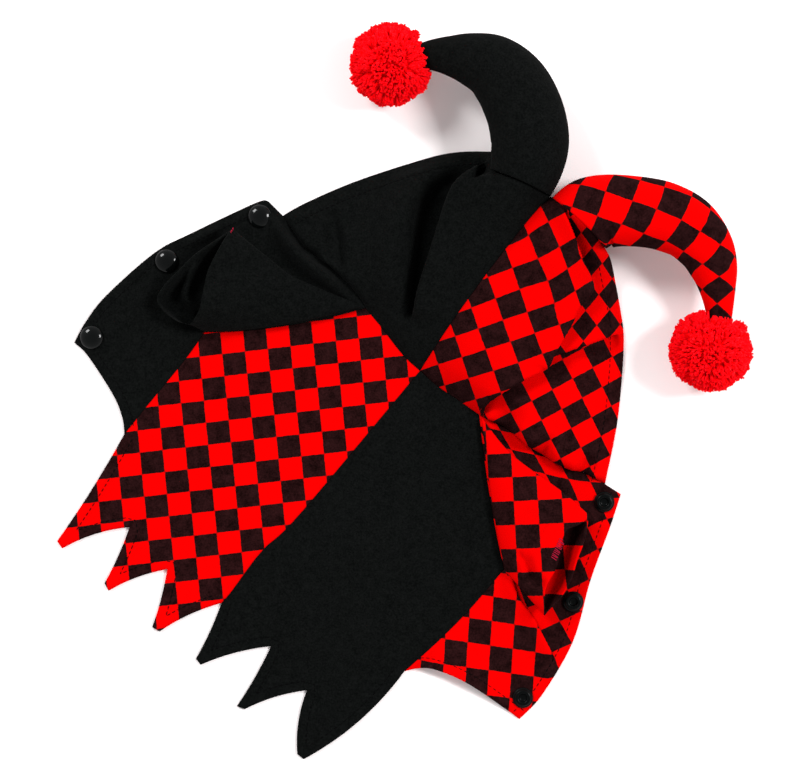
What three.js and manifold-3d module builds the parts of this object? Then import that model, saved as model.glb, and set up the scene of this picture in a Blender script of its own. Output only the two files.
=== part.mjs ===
// Hooded pet jester costume, size XS, laid flat with its back up and its belly flaps spread open.
// Millimetres. X runs to the garment's right on the surface, Y towards the hood, Z up from the surface.
import * as THREE from 'three';
import { mergeVertices } from 'three/addons/utils/BufferGeometryUtils.js';
import Module from 'manifold-3d';

const wasm = await Module();
wasm.setup();

// Cloth and seams
const clothWall = 2.0;
const seamGap = 0.4;
const layerGap = 0.4;

// Corners of the cut, on the surface
const nape = [9.5, 12.0];
const shoulderLeft = [-18.8, 45.1];
const underarmLeft = [-103.6, 32.5];
const sideHemLeft = [-145.6, -21.1];
const neckFrontLeft = [-70.0, 101.0];
const bellyTipLeft = [-171.9, 26.9];
const shoulderRight = [40.5, -11.1];
const underarmRight = [53.6, -92.0];
const sideHemRight = [1.4, -145.5];
const neckFrontRight = [106.6, -47.4];
const bellyTipRight = [61.6, -170.7];
const centreHem = [-94.7, -109.8];
const faceStartLeft = [-62.4, 93.4];
const crown = [76.9, 101.5];
const hornFaceLeft = [45.3, 115.5];
const hornFaceRight = [105.8, 75.1];

// Seams and free edges, each through the few points that its curve needs
const centreBack = [nape, [-53.5, -63.1], [-73.4, -82.5], [-89.7, -104.1], centreHem];
const neckBackLeft = [nape, [0.1, 20.9], [-12.0, 36.6], shoulderLeft];
const neckFlapLeft = [shoulderLeft, [-24.1, 52.9], [-36.2, 65.5], [-50.3, 76.5], faceStartLeft];
const armholeLeft = [shoulderLeft, [-37.2, 40.3], [-61.4, 35.6], [-84.5, 33.0], underarmLeft];
const sideLeft = [underarmLeft, [-113.9, 17.8], [-133.8, -6.4], sideHemLeft];
const frontLeft = [neckFrontLeft, [-76.6, 100.2], [-109.7, 84.6], [-129.6, 74.1], [-154.8, 51.9],
  [-165.8, 37.9], bellyTipLeft];
const legLeft = [sideHemLeft, [-146.8, -12.2], [-151.8, -0.1], [-164.8, 19.9], bellyTipLeft];
const neckBackRight = [nape, [18.4, 4.1], [28.4, -2.7], shoulderRight];
const neckFlapRight = [shoulderRight, [56.2, -19.0], [66.7, -27.4], [81.4, -36.3], [96.7, -42.1], neckFrontRight];
const armholeRight = [shoulderRight, [44.2, -41.1], [48.9, -69.9], underarmRight];
const sideRight = [underarmRight, [34.7, -114.0], [17.4, -131.3], sideHemRight];
const collarRight = [114.9, -52.6];
const frontRight = [collarRight, [109.1, -70.2], [99.0, -97.8], [89.8, -129.8],
  [73.8, -157.6], bellyTipRight];
const legRight = [sideHemRight, [14.8, -143.7], [33.7, -151.1], [54.7, -165.5], bellyTipRight];

// Hem points of the back: the two corners of each blunt tip, then the notch after it
const hemLeft = [
  { near: [-180.9, -77.3], far: [-178.2, -81.2], notch: [-142.9, -69.9], bow: 2.0 },
  { near: [-156.0, -99.3], far: [-153.9, -103.4], notch: [-123.1, -92.0], bow: 1.5 },
  { near: [-131.0, -122.4], far: [-127.1, -124.7], notch: centreHem, bow: 1.5 },
];
const hemRight = [
  { near: [-108.1, -139.0], far: [-105.6, -142.2], notch: [-68.7, -132.4], bow: 1.5 },
  { near: [-86.6, -163.9], far: [-82.5, -165.5], notch: [-49.8, -155.5], bow: 1.5 },
  { near: [-54.9, -189.1], far: [-51.4, -191.7], notch: sideHemRight, bow: -4.0 },
];

// Hood sections from the neck seam to the horn's seam: heights above the flat cloth at the centre
// seam, half way and at the face edge, and how full the dome is between them
const hoodSectionsLeft = [
  { along: 0.0, centre: 0, half: 0, edge: 0 },
  { along: 0.12, centre: 8, half: 7, edge: 0 },
  { along: 0.35, centre: 18, half: 12, edge: 0 },
  { along: 0.62, centre: 25, half: 19, edge: 0 },
  { along: 0.84, centre: 28, half: 32, edge: 3 },
  { along: 1.0, centre: 28, half: 40, edge: 8 },
];
const hoodSectionsRight = [
  { along: 0.0, centre: 0, half: 0, edge: 0 },
  { along: 0.12, centre: 8, half: 14, edge: 0 },
  { along: 0.35, centre: 18, half: 21, edge: 0 },
  { along: 0.62, centre: 25, half: 26, edge: 0 },
  { along: 0.84, centre: 28, half: 34, edge: 3 },
  { along: 1.0, centre: 28, half: 43, edge: 18 },
];
const hoodCentreSeam = [nape, [18.3, 26.0], [34.8, 50.0], [53.8, 75.3], [69.6, 95.0], crown];
const hoodCornerLeft = [48.5, 126.4];
const hornSeamLeft = [crown, [61.0, 108.5], [48.2, 114.0], [44.5, 118.2], [44.6, 122.5], hoodCornerLeft];
const hornSeamRight = [crown, hornFaceRight];
const hoodFaceLeft = [faceStartLeft, [-50.3, 100.2], [-24.1, 111.5], [10.6, 122.8], [29.3, 126.6],
  hoodCornerLeft];
const hoodFaceRight = [neckFrontRight, [113.2, -13.8], [116.4, 24.1], [115.0, 42.1], [109.8, 66.3], hornFaceRight];

// Folds: the line each one follows in plan, its rise at the middle (a trough is negative) and how
// far it spreads to the left and to the right of its line
const hoodFoldsLeft = [
  { line: [[42, 124.5], [27, 117.5], [16, 105], [9.4, 82.1], [2.6, 34]], rise: -16, left: 8, right: 4 },
  { line: [[42, 119], [30, 113], [23, 98], [16, 75.7], [8.5, 48]], rise: 5, left: 3, right: 10 },
  { line: [[-35, 93], [-33.5, 80], [-33, 66]], rise: -5, left: 4, right: 4 },
];
const hoodFoldsRight = [
  { line: [[81, 98], [98.9, 60.8], [99.4, 51.5], [89.2, 34.4], [80, 25]], rise: -5, left: 5, right: 2 },
  { line: [[40, -18], [52, -2], [72.6, 9.4], [95.4, 22.8], [110, 28]], rise: -7, left: 2, right: 5 },
  { line: [[42, -6], [60.4, 8.7], [83.3, 21.6], [98, 29]], rise: 2.4, left: 7, right: 2 },
];
const flapFoldsRight = [
  { line: [[53.7, -91], [62.2, -110.5], [74, -129.5], [77, -141]], rise: 3, left: 2, right: 7 },
];
const flatCloth = [];

// Sleeves: plan curves of the two folds and of the two layers at the cuff, and the tube's depths
const sleeveLeftShape = {
  armhole: armholeLeft,
  foldTop: [shoulderLeft, [-54.1, 59.8], [-67.1, 69.1], [-88.3, 86.2]],
  cuffUpper: [[-88.3, 86.2], [-99.7, 66.4], [-102.6, 55.5], [-104.0, 44.0], [-109.5, 35.6]],
  cuffLower: [[-88.3, 86.2], [-106.5, 73.9], [-115.4, 65.0], [-124.9, 55.0], [-127.7, 47.1],
    [-119.6, 37.9], [-109.5, 35.6]],
  seamDepth: 5.4,
  cuffDepth: 17,
};
const sleeveRightShape = {
  armhole: armholeRight,
  foldTop: [shoulderRight, [56.7, -30.9], [83.9, -51.1], [97.8, -63.5]],
  cuffUpper: [[97.8, -63.5], [92.0, -67.6], [85.3, -70.6], [82.5, -78.6], [80.4, -90.0], [74.6, -100.4],
    [73.6, -108.0], [74.4, -115.8]],
  cuffLower: [[97.8, -63.5], [96.4, -74.5], [91.7, -85.5], [88.0, -97.0], [82.8, -106.9], [74.4, -115.8]],
  seamDepth: 5.4,
  cuffDepth: 16,
};

// Horn sections along the spine: centre, half width in plan, height of the centre
const hornDepthRatio = 0.92;
const hornRowsLeft = [
  { x: 61.3, y: 109.0, half: 17.3, z: 28 },
  { x: 64.0, y: 119.0, half: 19.4, z: 29 },
  { x: 65.8, y: 131.0, half: 20.4, z: 30 },
  { x: 63.4, y: 145.4, half: 20.2, z: 30 },
  { x: 56.8, y: 158.6, half: 19.4, z: 30 },
  { x: 46.8, y: 168.2, half: 17.2, z: 29 },
  { x: 35.1, y: 172.9, half: 13.8, z: 27 },
  { x: 23.8, y: 174.9, half: 10.2, z: 25 },
  { x: 14.6, y: 175.2, half: 7.8, z: 24 },
  { x: 7.8, y: 174.8, half: 5.8, z: 23 },
];
const hornRowsRight = [
  { x: 91.5, y: 88.3, half: 19.4, z: 28 },
  { x: 98.6, y: 93.0, half: 19.6, z: 29 },
  { x: 109.6, y: 94.4, half: 19.0, z: 30 },
  { x: 123.2, y: 93.9, half: 18.3, z: 30 },
  { x: 135.6, y: 91.3, half: 17.7, z: 30 },
  { x: 147.6, y: 85.4, half: 16.8, z: 29 },
  { x: 156.4, y: 75.4, half: 14.9, z: 28 },
  { x: 161.0, y: 64.8, half: 12.4, z: 26 },
  { x: 163.2, y: 53.6, half: 9.3, z: 25 },
  { x: 164.2, y: 42.3, half: 7.0, z: 24 },
  { x: 164.2, y: 36.6, half: 5.8, z: 23.5 },
];

// Pompoms
const pompomRadius = 21.3;
const pompomCoreRadius = 13.5;
const pompomHeight = 22.6;
const strandCount = 112;
const strandRoot = 3.4;
const strandSides = 3;
const strandStart = pompomCoreRadius * 0.75;
const strandShortening = 0.9;
const bareCosine = 0.78;
const pompomCentreLeft = [-5.8, 170.4];
const pompomCentreRight = [159.8, 22.7];

// Snap fasteners on the belly flaps
const capRadius = 6.2;
const capHeight = 2.4;
const socketRadius = 5.4;
const capCentres = [[-74.5, 93.1], [-123.3, 69.6], [-162.6, 29.6]];
const socketCentres = [[106.0, -56.7], [89.8, -108.9], [63.4, -159.3]];

// Colours of the photographed cloth
const black = new THREE.MeshStandardMaterial({ color: 0x0e1312, roughness: 0.92, metalness: 0 });
const check = new THREE.MeshStandardMaterial({ color: 0xd80a10, roughness: 0.85, metalness: 0 });
const yarn = new THREE.MeshStandardMaterial({ color: 0xf0101a, roughness: 0.9, metalness: 0 });
const gloss = new THREE.MeshStandardMaterial({ color: 0x050606, roughness: 0.15, metalness: 0 });

const garment = new THREE.Group();

function addPiece(name, geometry, material) {
  const mesh = new THREE.Mesh(geometry, material);
  mesh.name = name;
  garment.add(mesh);
}

// A path in plan through stretches of points: two points make a line, more make a smooth curve
function edge(...stretches) {
  const path = new THREE.Path();
  path.moveTo(...stretches[0][0]);
  for (const stretch of stretches) {
    if (stretch.length === 2) {
      path.lineTo(...stretch[1]);
    } else {
      path.splineThru(stretch.slice(1).map((point) => new THREE.Vector2(...point)));
    }
  }
  return path;
}

// Corners of a zigzag hem in order, each with the bow of the side that leads to it
function hemCorners(start, rows) {
  const corners = [{ point: start, bow: 0 }];
  for (const row of rows) {
    corners.push({ point: row.near, bow: -row.bow * 0.5 });
    corners.push({ point: row.far, bow: 0 });
    corners.push({ point: row.notch, bow: -row.bow });
  }
  return corners;
}

// Adds a slightly bowed side to a path
function addSide(path, from, to, bow) {
  const across = new THREE.Vector2(to[1] - from[1], from[0] - to[0]).normalize();
  const middle = [(from[0] + to[0]) / 2 + across.x * bow * 2, (from[1] + to[1]) / 2 + across.y * bow * 2];
  path.quadraticCurveTo(...middle, ...to);
}

// The path along a hem's corners
function hemPath(corners) {
  const path = new THREE.Path();
  path.moveTo(...corners[0].point);
  for (let k = 1; k < corners.length; k += 1) {
    addSide(path, corners[k - 1].point, corners[k].point, corners[k].bow);
  }
  return path;
}

// Places along a path, as shares of its length: every joint of its curves, and steps between them
function stations(path, spacing) {
  const lengths = path.getCurveLengths();
  const total = lengths[lengths.length - 1];
  const places = [0];
  let start = 0;
  for (const end of lengths) {
    const steps = Math.max(1, Math.round((end - start) / spacing));
    for (let step = 1; step <= steps; step += 1) {
      places.push(Math.min(1, (start + ((end - start) * step) / steps) / total));
    }
    start = end;
  }
  places[places.length - 1] = 1;
  return places;
}

// Adds the corners of a second path to a list of places, in place of any that lie too near
function withCorners(places, path) {
  const lengths = path.getCurveLengths();
  const corners = lengths.slice(0, -1).map((length) => length / lengths[lengths.length - 1]);
  const nearest = 0.012;
  const kept = places.filter((place) => place === 0 || place === 1
    || corners.every((corner) => Math.abs(corner - place) > nearest));
  return [...kept, ...corners].sort((a, b) => a - b);
}

// Plan points of a four-sided patch between its edges, as rows of columns
function patchPlan(top, bottom, left, right, columns, rows) {
  const corner = {
    topLeft: top.getPointAt(0), topRight: top.getPointAt(1),
    bottomLeft: bottom.getPointAt(0), bottomRight: bottom.getPointAt(1),
  };
  return rows.map((v) => columns.map((u) => {
    const point = top.getPointAt(u).multiplyScalar(1 - v);
    point.addScaledVector(bottom.getPointAt(u), v);
    point.addScaledVector(left.getPointAt(v), 1 - u);
    point.addScaledVector(right.getPointAt(v), u);
    point.addScaledVector(corner.topLeft, -(1 - u) * (1 - v));
    point.addScaledVector(corner.topRight, -u * (1 - v));
    point.addScaledVector(corner.bottomLeft, -(1 - u) * v);
    point.addScaledVector(corner.bottomRight, -u * v);
    return point;
  }));
}

// The grid's outer points in order round it
function rim(rowCount, columnCount) {
  const order = [];
  for (let i = 0; i < columnCount - 1; i += 1) order.push([0, i]);
  for (let j = 0; j < rowCount - 1; j += 1) order.push([j, columnCount - 1]);
  for (let i = columnCount - 1; i > 0; i -= 1) order.push([rowCount - 1, i]);
  for (let j = rowCount - 1; j > 0; j -= 1) order.push([j, 0]);
  return order;
}

// Draws a patch's rim in, so that neighbours stay apart at their seams
const sharpestMitre = 0.35;

function insetRim(plan, inset) {
  const order = rim(plan.length, plan[0].length);
  const loop = order.map(([j, i]) => plan[j][i].clone());
  let area = 0;
  loop.forEach((point, k) => {
    area += point.cross(loop[(k + 1) % loop.length]);
  });
  const inward = Math.sign(area) * inset;
  const normalOf = (from, to) => new THREE.Vector2(from.y - to.y, to.x - from.x).normalize();
  order.forEach(([j, i], k) => {
    const before = normalOf(loop[(k + loop.length - 1) % loop.length], loop[k]);
    const after = normalOf(loop[k], loop[(k + 1) % loop.length]);
    const mitre = before.clone().add(after);
    mitre.multiplyScalar(inward / Math.max(sharpestMitre, 0.5 * mitre.lengthSq()));
    plan[j][i].add(mitre);
  });
}

const foldSamples = 40;
const foldFullness = 0.5;

// Height that the folds add at a place: each is highest half way along its line and fades at both ends
function foldHeight(point, folds) {
  let height = 0;
  for (const fold of folds) {
    const curve = new THREE.SplineCurve(fold.line.map((place) => new THREE.Vector2(...place)));
    const samples = curve.getPoints(foldSamples);
    let nearest = 0;
    samples.forEach((sample, k) => {
      if (sample.distanceTo(point) < samples[nearest].distanceTo(point)) nearest = k;
    });
    const run = curve.getTangent(nearest / foldSamples);
    const offset = new THREE.Vector2(point.x, point.y).sub(samples[nearest]);
    const spread = run.cross(offset) > 0 ? fold.left : fold.right;
    const fade = Math.sin((Math.PI * nearest) / foldSamples) ** foldFullness;
    height += fold.rise * fade * Math.exp(-offset.lengthSq() / (spread * spread));
  }
  return height;
}

// A closed wall from a grid of outer points and the matching grid of inner points
function wallGeometry(outer, inner) {
  const rowCount = outer.length;
  const columnCount = outer[0].length;
  const positions = [...outer.flat(), ...inner.flat()].flatMap((point) => point.toArray());
  const layer = rowCount * columnCount;
  const at = (j, i) => j * columnCount + i;
  const index = [];
  for (let j = 0; j < rowCount - 1; j += 1) {
    for (let i = 0; i < columnCount - 1; i += 1) {
      const [a, b, c, d] = [at(j, i), at(j, i + 1), at(j + 1, i + 1), at(j + 1, i)];
      index.push(a, b, c, a, c, d);
      index.push(layer + a, layer + c, layer + b, layer + a, layer + d, layer + c);
    }
  }
  const order = rim(rowCount, columnCount).map(([j, i]) => at(j, i));
  order.forEach((a, k) => {
    const b = order[(k + 1) % order.length];
    index.push(b, a, layer + a, b, layer + a, layer + b);
  });
  return facingOut(positions, index);
}

// A geometry from positions and triangles, turned so that its faces point out
function facingOut(positions, index) {
  let volume = 0;
  const corner = (k) => new THREE.Vector3().fromArray(positions, index[k] * 3);
  for (let k = 0; k < index.length; k += 3) {
    volume += corner(k).dot(corner(k + 1).cross(corner(k + 2)));
  }
  if (volume < 0) {
    for (let k = 0; k < index.length; k += 3) {
      [index[k], index[k + 1]] = [index[k + 1], index[k]];
    }
  }
  const geometry = new THREE.BufferGeometry();
  geometry.setAttribute('position', new THREE.Float32BufferAttribute(positions, 3));
  geometry.setIndex(index);
  geometry.computeVertexNormals();
  return geometry;
}

// A cloth panel that lies on the surface, raised only by its folds
function flatPanel(top, bottom, left, right, columns, rows, folds) {
  const plan = patchPlan(top, bottom, left, right, columns, rows);
  insetRim(plan, seamGap / 2);
  const lift = (height) => plan.map((row) => row.map((point) => (
    new THREE.Vector3(point.x, point.y, height + foldHeight(point, folds)))));
  return wallGeometry(lift(clothWall), lift(0));
}

// Grid spacing of the flat cloth: the back's panels, the flaps, and the flap whose seam bends most
const panelStep = 12;
const flapStep = 8.4;
const bentSeamStep = 6;

// Back panels: the lanes of their grids run down from neck and armhole to the hem, and the outermost
// side of the last point carries the side seam on to its tip
{
  const top = edge(armholeLeft.slice().reverse(), neckBackLeft.slice().reverse());
  const corners = hemCorners(sideHemLeft, hemLeft);
  const side = edge(sideLeft);
  addSide(side, corners[0].point, corners[1].point, corners[1].bow);
  const hem = hemPath(corners.slice(1));
  const columns = withCorners(stations(hem, panelStep), top);
  const rows = withCorners(stations(edge(centreBack), panelStep), side);
  addPiece('back_left', flatPanel(top, hem, side, edge(centreBack), columns, rows, flatCloth), check);
}
{
  const top = edge(neckBackRight, armholeRight);
  const corners = hemCorners(centreHem, hemRight);
  const [tip, end] = corners.slice(-2);
  const side = edge(sideRight);
  addSide(side, end.point, tip.point, -end.bow);
  const hem = hemPath(corners.slice(0, -1));
  const columns = withCorners(stations(hem, panelStep), top);
  const rows = withCorners(stations(edge(centreBack), panelStep), side);
  addPiece('back_right', flatPanel(top, hem, edge(centreBack), side, columns, rows, flatCloth), black);
}

// Belly flaps: from the neck to the leg edge, between the back's seams and the front edge
{
  const inner = edge(armholeLeft, sideLeft);
  const neck = edge(neckFlapLeft, [faceStartLeft, neckFrontLeft]);
  const rows = stations(inner, flapStep);
  const columns = stations(neck, flapStep);
  addPiece('belly_left', flatPanel(neck, edge(legLeft), inner, edge(frontLeft), columns, rows, flatCloth), black);
}
{
  const inner = edge(armholeRight, sideRight);
  const rows = stations(inner, bentSeamStep);
  const neck = edge(neckFlapRight, [neckFrontRight, collarRight]);
  const columns = stations(neck, flapStep);
  const flap = flatPanel(neck, edge(legRight), inner, edge(frontRight), columns, rows, flapFoldsRight);
  addPiece('belly_right', flap, check);
}

// Value of one column of a table of sections at a place along it, smooth between the rows
function sectionValue(sections, column, along) {
  let k = 0;
  while (k < sections.length - 2 && along > sections[k + 1].along) k += 1;
  const [low, high] = [sections[k], sections[k + 1]];
  const t = THREE.MathUtils.clamp((along - low.along) / (high.along - low.along), 0, 1);
  const slopeAt = (n) => {
    const before = sections[Math.max(0, n - 1)];
    const after = sections[Math.min(sections.length - 1, n + 1)];
    return (after[column] - before[column]) / (after.along - before.along);
  };
  const span = high.along - low.along;
  const [t2, t3] = [t * t, t * t * t];
  return low[column] * (2 * t3 - 3 * t2 + 1) + slopeAt(k) * span * (t3 - 2 * t2 + t)
    + high[column] * (3 * t2 - 2 * t3) + slopeAt(k + 1) * span * (t3 - t2);
}

// Height of a hood half across one section, from the centre seam (0) to the face edge (1)
function hoodHeight(sections, across, along) {
  const centre = sectionValue(sections, 'centre', along);
  const half = sectionValue(sections, 'half', along);
  const end = sectionValue(sections, 'edge', along);
  const middle = half - (centre + end) / 2;
  return centre * (1 - across) + end * across + middle * Math.sin(Math.PI * across) ** 0.9;
}

// Outward normals of a grid of points
function gridNormals(points) {
  const last = [points.length - 1, points[0].length - 1];
  return points.map((row, j) => row.map((point, i) => {
    const along = points[Math.min(last[0], j + 1)][i].clone().sub(points[Math.max(0, j - 1)][i]);
    const across = row[Math.min(last[1], i + 1)].clone().sub(row[Math.max(0, i - 1)]);
    const normal = across.cross(along).normalize();
    return normal.z < 0 ? normal.negate() : normal;
  }));
}

const hoodColumns = 22;
const hoodRows = 24;
const foldFade = 12;
const seamInset = seamGap * 0.8;
const evenSteps = (count) => Array.from({ length: count + 1 }, (_, k) => k / count);

function hoodHalf(neck, face, hornSeam, sections, folds) {
  const columns = evenSteps(hoodColumns);
  const rows = evenSteps(hoodRows);
  const plan = patchPlan(neck, hornSeam, edge(hoodCentreSeam), face, columns, rows);
  insetRim(plan, seamInset);
  const outer = plan.map((row, j) => row.map((point, i) => {
    const rimDistance = Math.min(rows[j], 1 - rows[j], columns[i], 1 - columns[i]);
    const fold = foldHeight(point, folds) * Math.min(1, rimDistance * foldFade);
    const height = Math.max(0, hoodHeight(sections, columns[i], rows[j]) + fold);
    return new THREE.Vector3(point.x, point.y, clothWall + height);
  }));
  const normals = gridNormals(outer);
  const inner = outer.map((row, j) => row.map((point, i) => {
    const normal = normals[j][i].clone();
    const onSeam = j === 0 || j === hoodRows || i === 0 || i === hoodColumns;
    if (onSeam) normal.set(0, 0, 1);
    return point.clone().addScaledVector(normal, -clothWall);
  }));
  return wallGeometry(outer, inner);
}

addPiece('hood_left', hoodHalf(edge(neckBackLeft, neckFlapLeft), edge(hoodFaceLeft),
  edge(hornSeamLeft), hoodSectionsLeft, hoodFoldsLeft), black);
addPiece('hood_right', hoodHalf(edge(neckBackRight, neckFlapRight), edge(hoodFaceRight),
  edge(hornSeamRight), hoodSectionsRight, hoodFoldsRight), check);

// Sleeves: rings from the armhole to the cuff, each a flattened loop round the two folds
const sleeveRings = 9;
const sleeveSides = 28;
const seamShare = 0.02;
const ringRoundness = 0.6;
const depthGrowth = 0.8;

function sleeve(shape) {
  const curves = {
    armhole: edge(shape.armhole),
    foldTop: edge(shape.foldTop),
    upper: edge(shape.cuffUpper),
    lower: edge(shape.cuffLower),
  };
  const ringPoint = (s, turn, inset) => {
    const depth = THREE.MathUtils.lerp(shape.seamDepth, shape.cuffDepth, s ** depthGrowth);
    const rise = Math.sin(turn);
    const width = curves.armhole.getLength() * (1 - s) + curves.upper.getLength() * s;
    const margin = inset / width;
    const u = margin + (1 - 2 * margin) * ((1 - Math.cos(turn)) / 2);
    const start = curves.armhole.getPointAt(u);
    const lift = 0.5 + 0.5 * Math.sign(rise) * Math.abs(rise) ** ringRoundness;
    const cuff = curves.lower.getPointAt(u).lerp(curves.upper.getPointAt(u), lift);
    const straight = curves.armhole.getPointAt(0).lerp(curves.upper.getPointAt(0), s);
    const bend = curves.foldTop.getPointAt(s).sub(straight).multiplyScalar((1 - u) ** 2);
    const plan = start.lerp(cuff, seamShare + (1 - seamShare) * s).add(bend);
    const half = depth / 2 - inset;
    const z = clothWall + layerGap + depth / 2 + half * Math.sign(rise) * Math.abs(rise) ** ringRoundness;
    return new THREE.Vector3(plan.x, plan.y, z);
  };
  const turns = Array.from({ length: sleeveSides }, (_, k) => ((k + 0.5) / sleeveSides) * Math.PI * 2);
  const grid = (inset) => evenSteps(sleeveRings).map((s) => turns.map((turn) => ringPoint(s, turn, inset)));
  return tubeGeometry(grid(0), grid(clothWall));
}

// A tube with a wall, open at both ends, from rings of outer points and of inner points
function tubeGeometry(outer, inner) {
  const ringCount = outer.length;
  const sides = outer[0].length;
  const positions = [...outer.flat(), ...inner.flat()].flatMap((point) => point.toArray());
  const layer = ringCount * sides;
  const at = (j, i) => j * sides + (i % sides);
  const index = [];
  for (let i = 0; i < sides; i += 1) {
    for (let j = 0; j < ringCount - 1; j += 1) {
      const [a, b, c, d] = [at(j, i), at(j, i + 1), at(j + 1, i + 1), at(j + 1, i)];
      index.push(a, b, c, a, c, d);
      index.push(layer + a, layer + c, layer + b, layer + a, layer + d, layer + c);
    }
    const [a, b] = [at(0, i), at(0, i + 1)];
    index.push(b, a, layer + a, b, layer + a, layer + b);
    const [c, d] = [at(ringCount - 1, i), at(ringCount - 1, i + 1)];
    index.push(c, d, layer + d, c, layer + d, layer + c);
  }
  return facingOut(positions, index);
}

addPiece('sleeve_left', sleeve(sleeveLeftShape), black);
addPiece('sleeve_right', sleeve(sleeveRightShape), check);

// Stuffed horns: round sections along a curved spine, closed at both ends
const hornSides = 16;
const hornRings = 18;
const baseTurn = 5;

function horn(rows, seamFrom, seamTo) {
  const spine = new THREE.CatmullRomCurve3(rows.map((row) => new THREE.Vector3(row.x, row.y, row.z)));
  const seam = new THREE.Vector2(seamTo[0] - seamFrom[0], seamTo[1] - seamFrom[1]).normalize();
  const positions = [];
  for (let j = 0; j <= hornRings; j += 1) {
    const t = j / hornRings;
    const place = t * (rows.length - 1);
    const low = Math.min(rows.length - 2, Math.floor(place));
    const half = THREE.MathUtils.lerp(rows[low].half, rows[low + 1].half, place - low);
    const centre = spine.getPoint(t);
    const run = spine.getTangent(t);
    const across = new THREE.Vector2(run.y, -run.x).normalize();
    across.lerp(seam, Math.max(0, 1 - baseTurn * t)).normalize();
    for (let i = 0; i < hornSides; i += 1) {
      const turn = (i / hornSides) * Math.PI * 2;
      const side = Math.cos(turn) * half;
      const up = Math.sin(turn) * half * hornDepthRatio;
      positions.push(centre.x + across.x * side, centre.y + across.y * side, centre.z + up);
    }
  }
  const index = [];
  for (let j = 0; j < hornRings; j += 1) {
    for (let i = 0; i < hornSides; i += 1) {
      const next = (i + 1) % hornSides;
      const [a, b] = [j * hornSides + i, j * hornSides + next];
      const [c, d] = [a + hornSides, b + hornSides];
      index.push(a, b, d, a, d, c);
    }
  }
  const lastRing = hornRings * hornSides;
  for (let i = 1; i < hornSides - 1; i += 1) {
    index.push(0, i + 1, i, lastRing, lastRing + i, lastRing + i + 1);
  }
  return facingOut(positions, index);
}

addPiece('horn_left', horn(hornRowsLeft, hornFaceLeft, crown), black);
addPiece('horn_right', horn(hornRowsRight, crown, hornFaceRight), check);

// Solids for joining, and back again
function toSolid(source) {
  const plain = source.clone();
  plain.deleteAttribute('normal');
  if (plain.hasAttribute('uv')) plain.deleteAttribute('uv');
  const merged = mergeVertices(plain);
  return new wasm.Manifold(new wasm.Mesh({
    numProp: 3,
    vertProperties: new Float32Array(merged.getAttribute('position').array),
    triVerts: new Uint32Array(merged.getIndex().array),
  }));
}

function fromSolid(solid) {
  const mesh = solid.getMesh();
  return facingOut(Array.from(mesh.vertProperties), Array.from(mesh.triVerts));
}

// A yarn pompom: strands spread evenly over a core, with a bare place where the horn's tip enters
function pompom(centre, tip) {
  const middle = new THREE.Vector3(centre[0], centre[1], pompomHeight);
  const towardsTip = new THREE.Vector3(tip.x, tip.y, tip.z).sub(middle).normalize();
  const core = new THREE.IcosahedronGeometry(pompomCoreRadius, 1);
  core.translate(middle.x, middle.y, middle.z);
  let solid = toSolid(core);
  const goldenAngle = Math.PI * (3 - Math.sqrt(5));
  const up = new THREE.Vector3(0, 1, 0);
  for (let k = 0; k < strandCount; k += 1) {
    const height = 1 - (2 * (k + 0.5)) / strandCount;
    const around = k * goldenAngle;
    const flat = Math.sqrt(1 - height * height);
    const direction = new THREE.Vector3(flat * Math.cos(around), flat * Math.sin(around), height);
    if (direction.dot(towardsTip) > bareCosine) continue;
    const shortening = strandShortening * (0.5 + 0.5 * Math.sin(k * goldenAngle));
    const length = pompomRadius - shortening - strandStart;
    const strand = new THREE.ConeGeometry(strandRoot, length, strandSides);
    strand.translate(0, length / 2 + strandStart, 0);
    strand.applyQuaternion(new THREE.Quaternion().setFromUnitVectors(up, direction));
    strand.translate(middle.x, middle.y, middle.z);
    solid = solid.add(toSolid(strand));
  }
  return fromSolid(solid);
}

addPiece('pompom_left', pompom(pompomCentreLeft, hornRowsLeft[hornRowsLeft.length - 1]), yarn);
addPiece('pompom_right', pompom(pompomCentreRight, hornRowsRight[hornRowsRight.length - 1]), yarn);

// Snap caps are shallow domes, sockets are rings round a dimple; both turned round an upright axis
const snapSides = 20;

function turned(profile, centre) {
  const points = profile.map(([radius, height]) => new THREE.Vector2(radius, height));
  const geometry = new THREE.LatheGeometry(points, snapSides);
  geometry.rotateX(Math.PI / 2);
  geometry.translate(centre[0], centre[1], clothWall + layerGap);
  return mergeVertices(geometry);
}

const capProfile = [[0, 0], [capRadius, 0], [capRadius, capHeight * 0.35], [capRadius * 0.86, capHeight * 0.72],
  [capRadius * 0.5, capHeight * 0.95], [0, capHeight]];
const socketProfile = [[0, 0], [socketRadius, 0], [socketRadius, 0.9], [socketRadius * 0.78, 2.2],
  [socketRadius * 0.5, 2.2], [socketRadius * 0.38, 1.0], [0, 0.9]];
capCentres.forEach((centre, k) => addPiece(`snap_cap_${k + 1}`, turned(capProfile, centre), gloss));
socketCentres.forEach((centre, k) => addPiece(`snap_socket_${k + 1}`, turned(socketProfile, centre), gloss));

export default garment;
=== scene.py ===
"""Hooded pet jester costume laid flat on a pale table, back up and belly flaps spread open."""
import math

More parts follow.
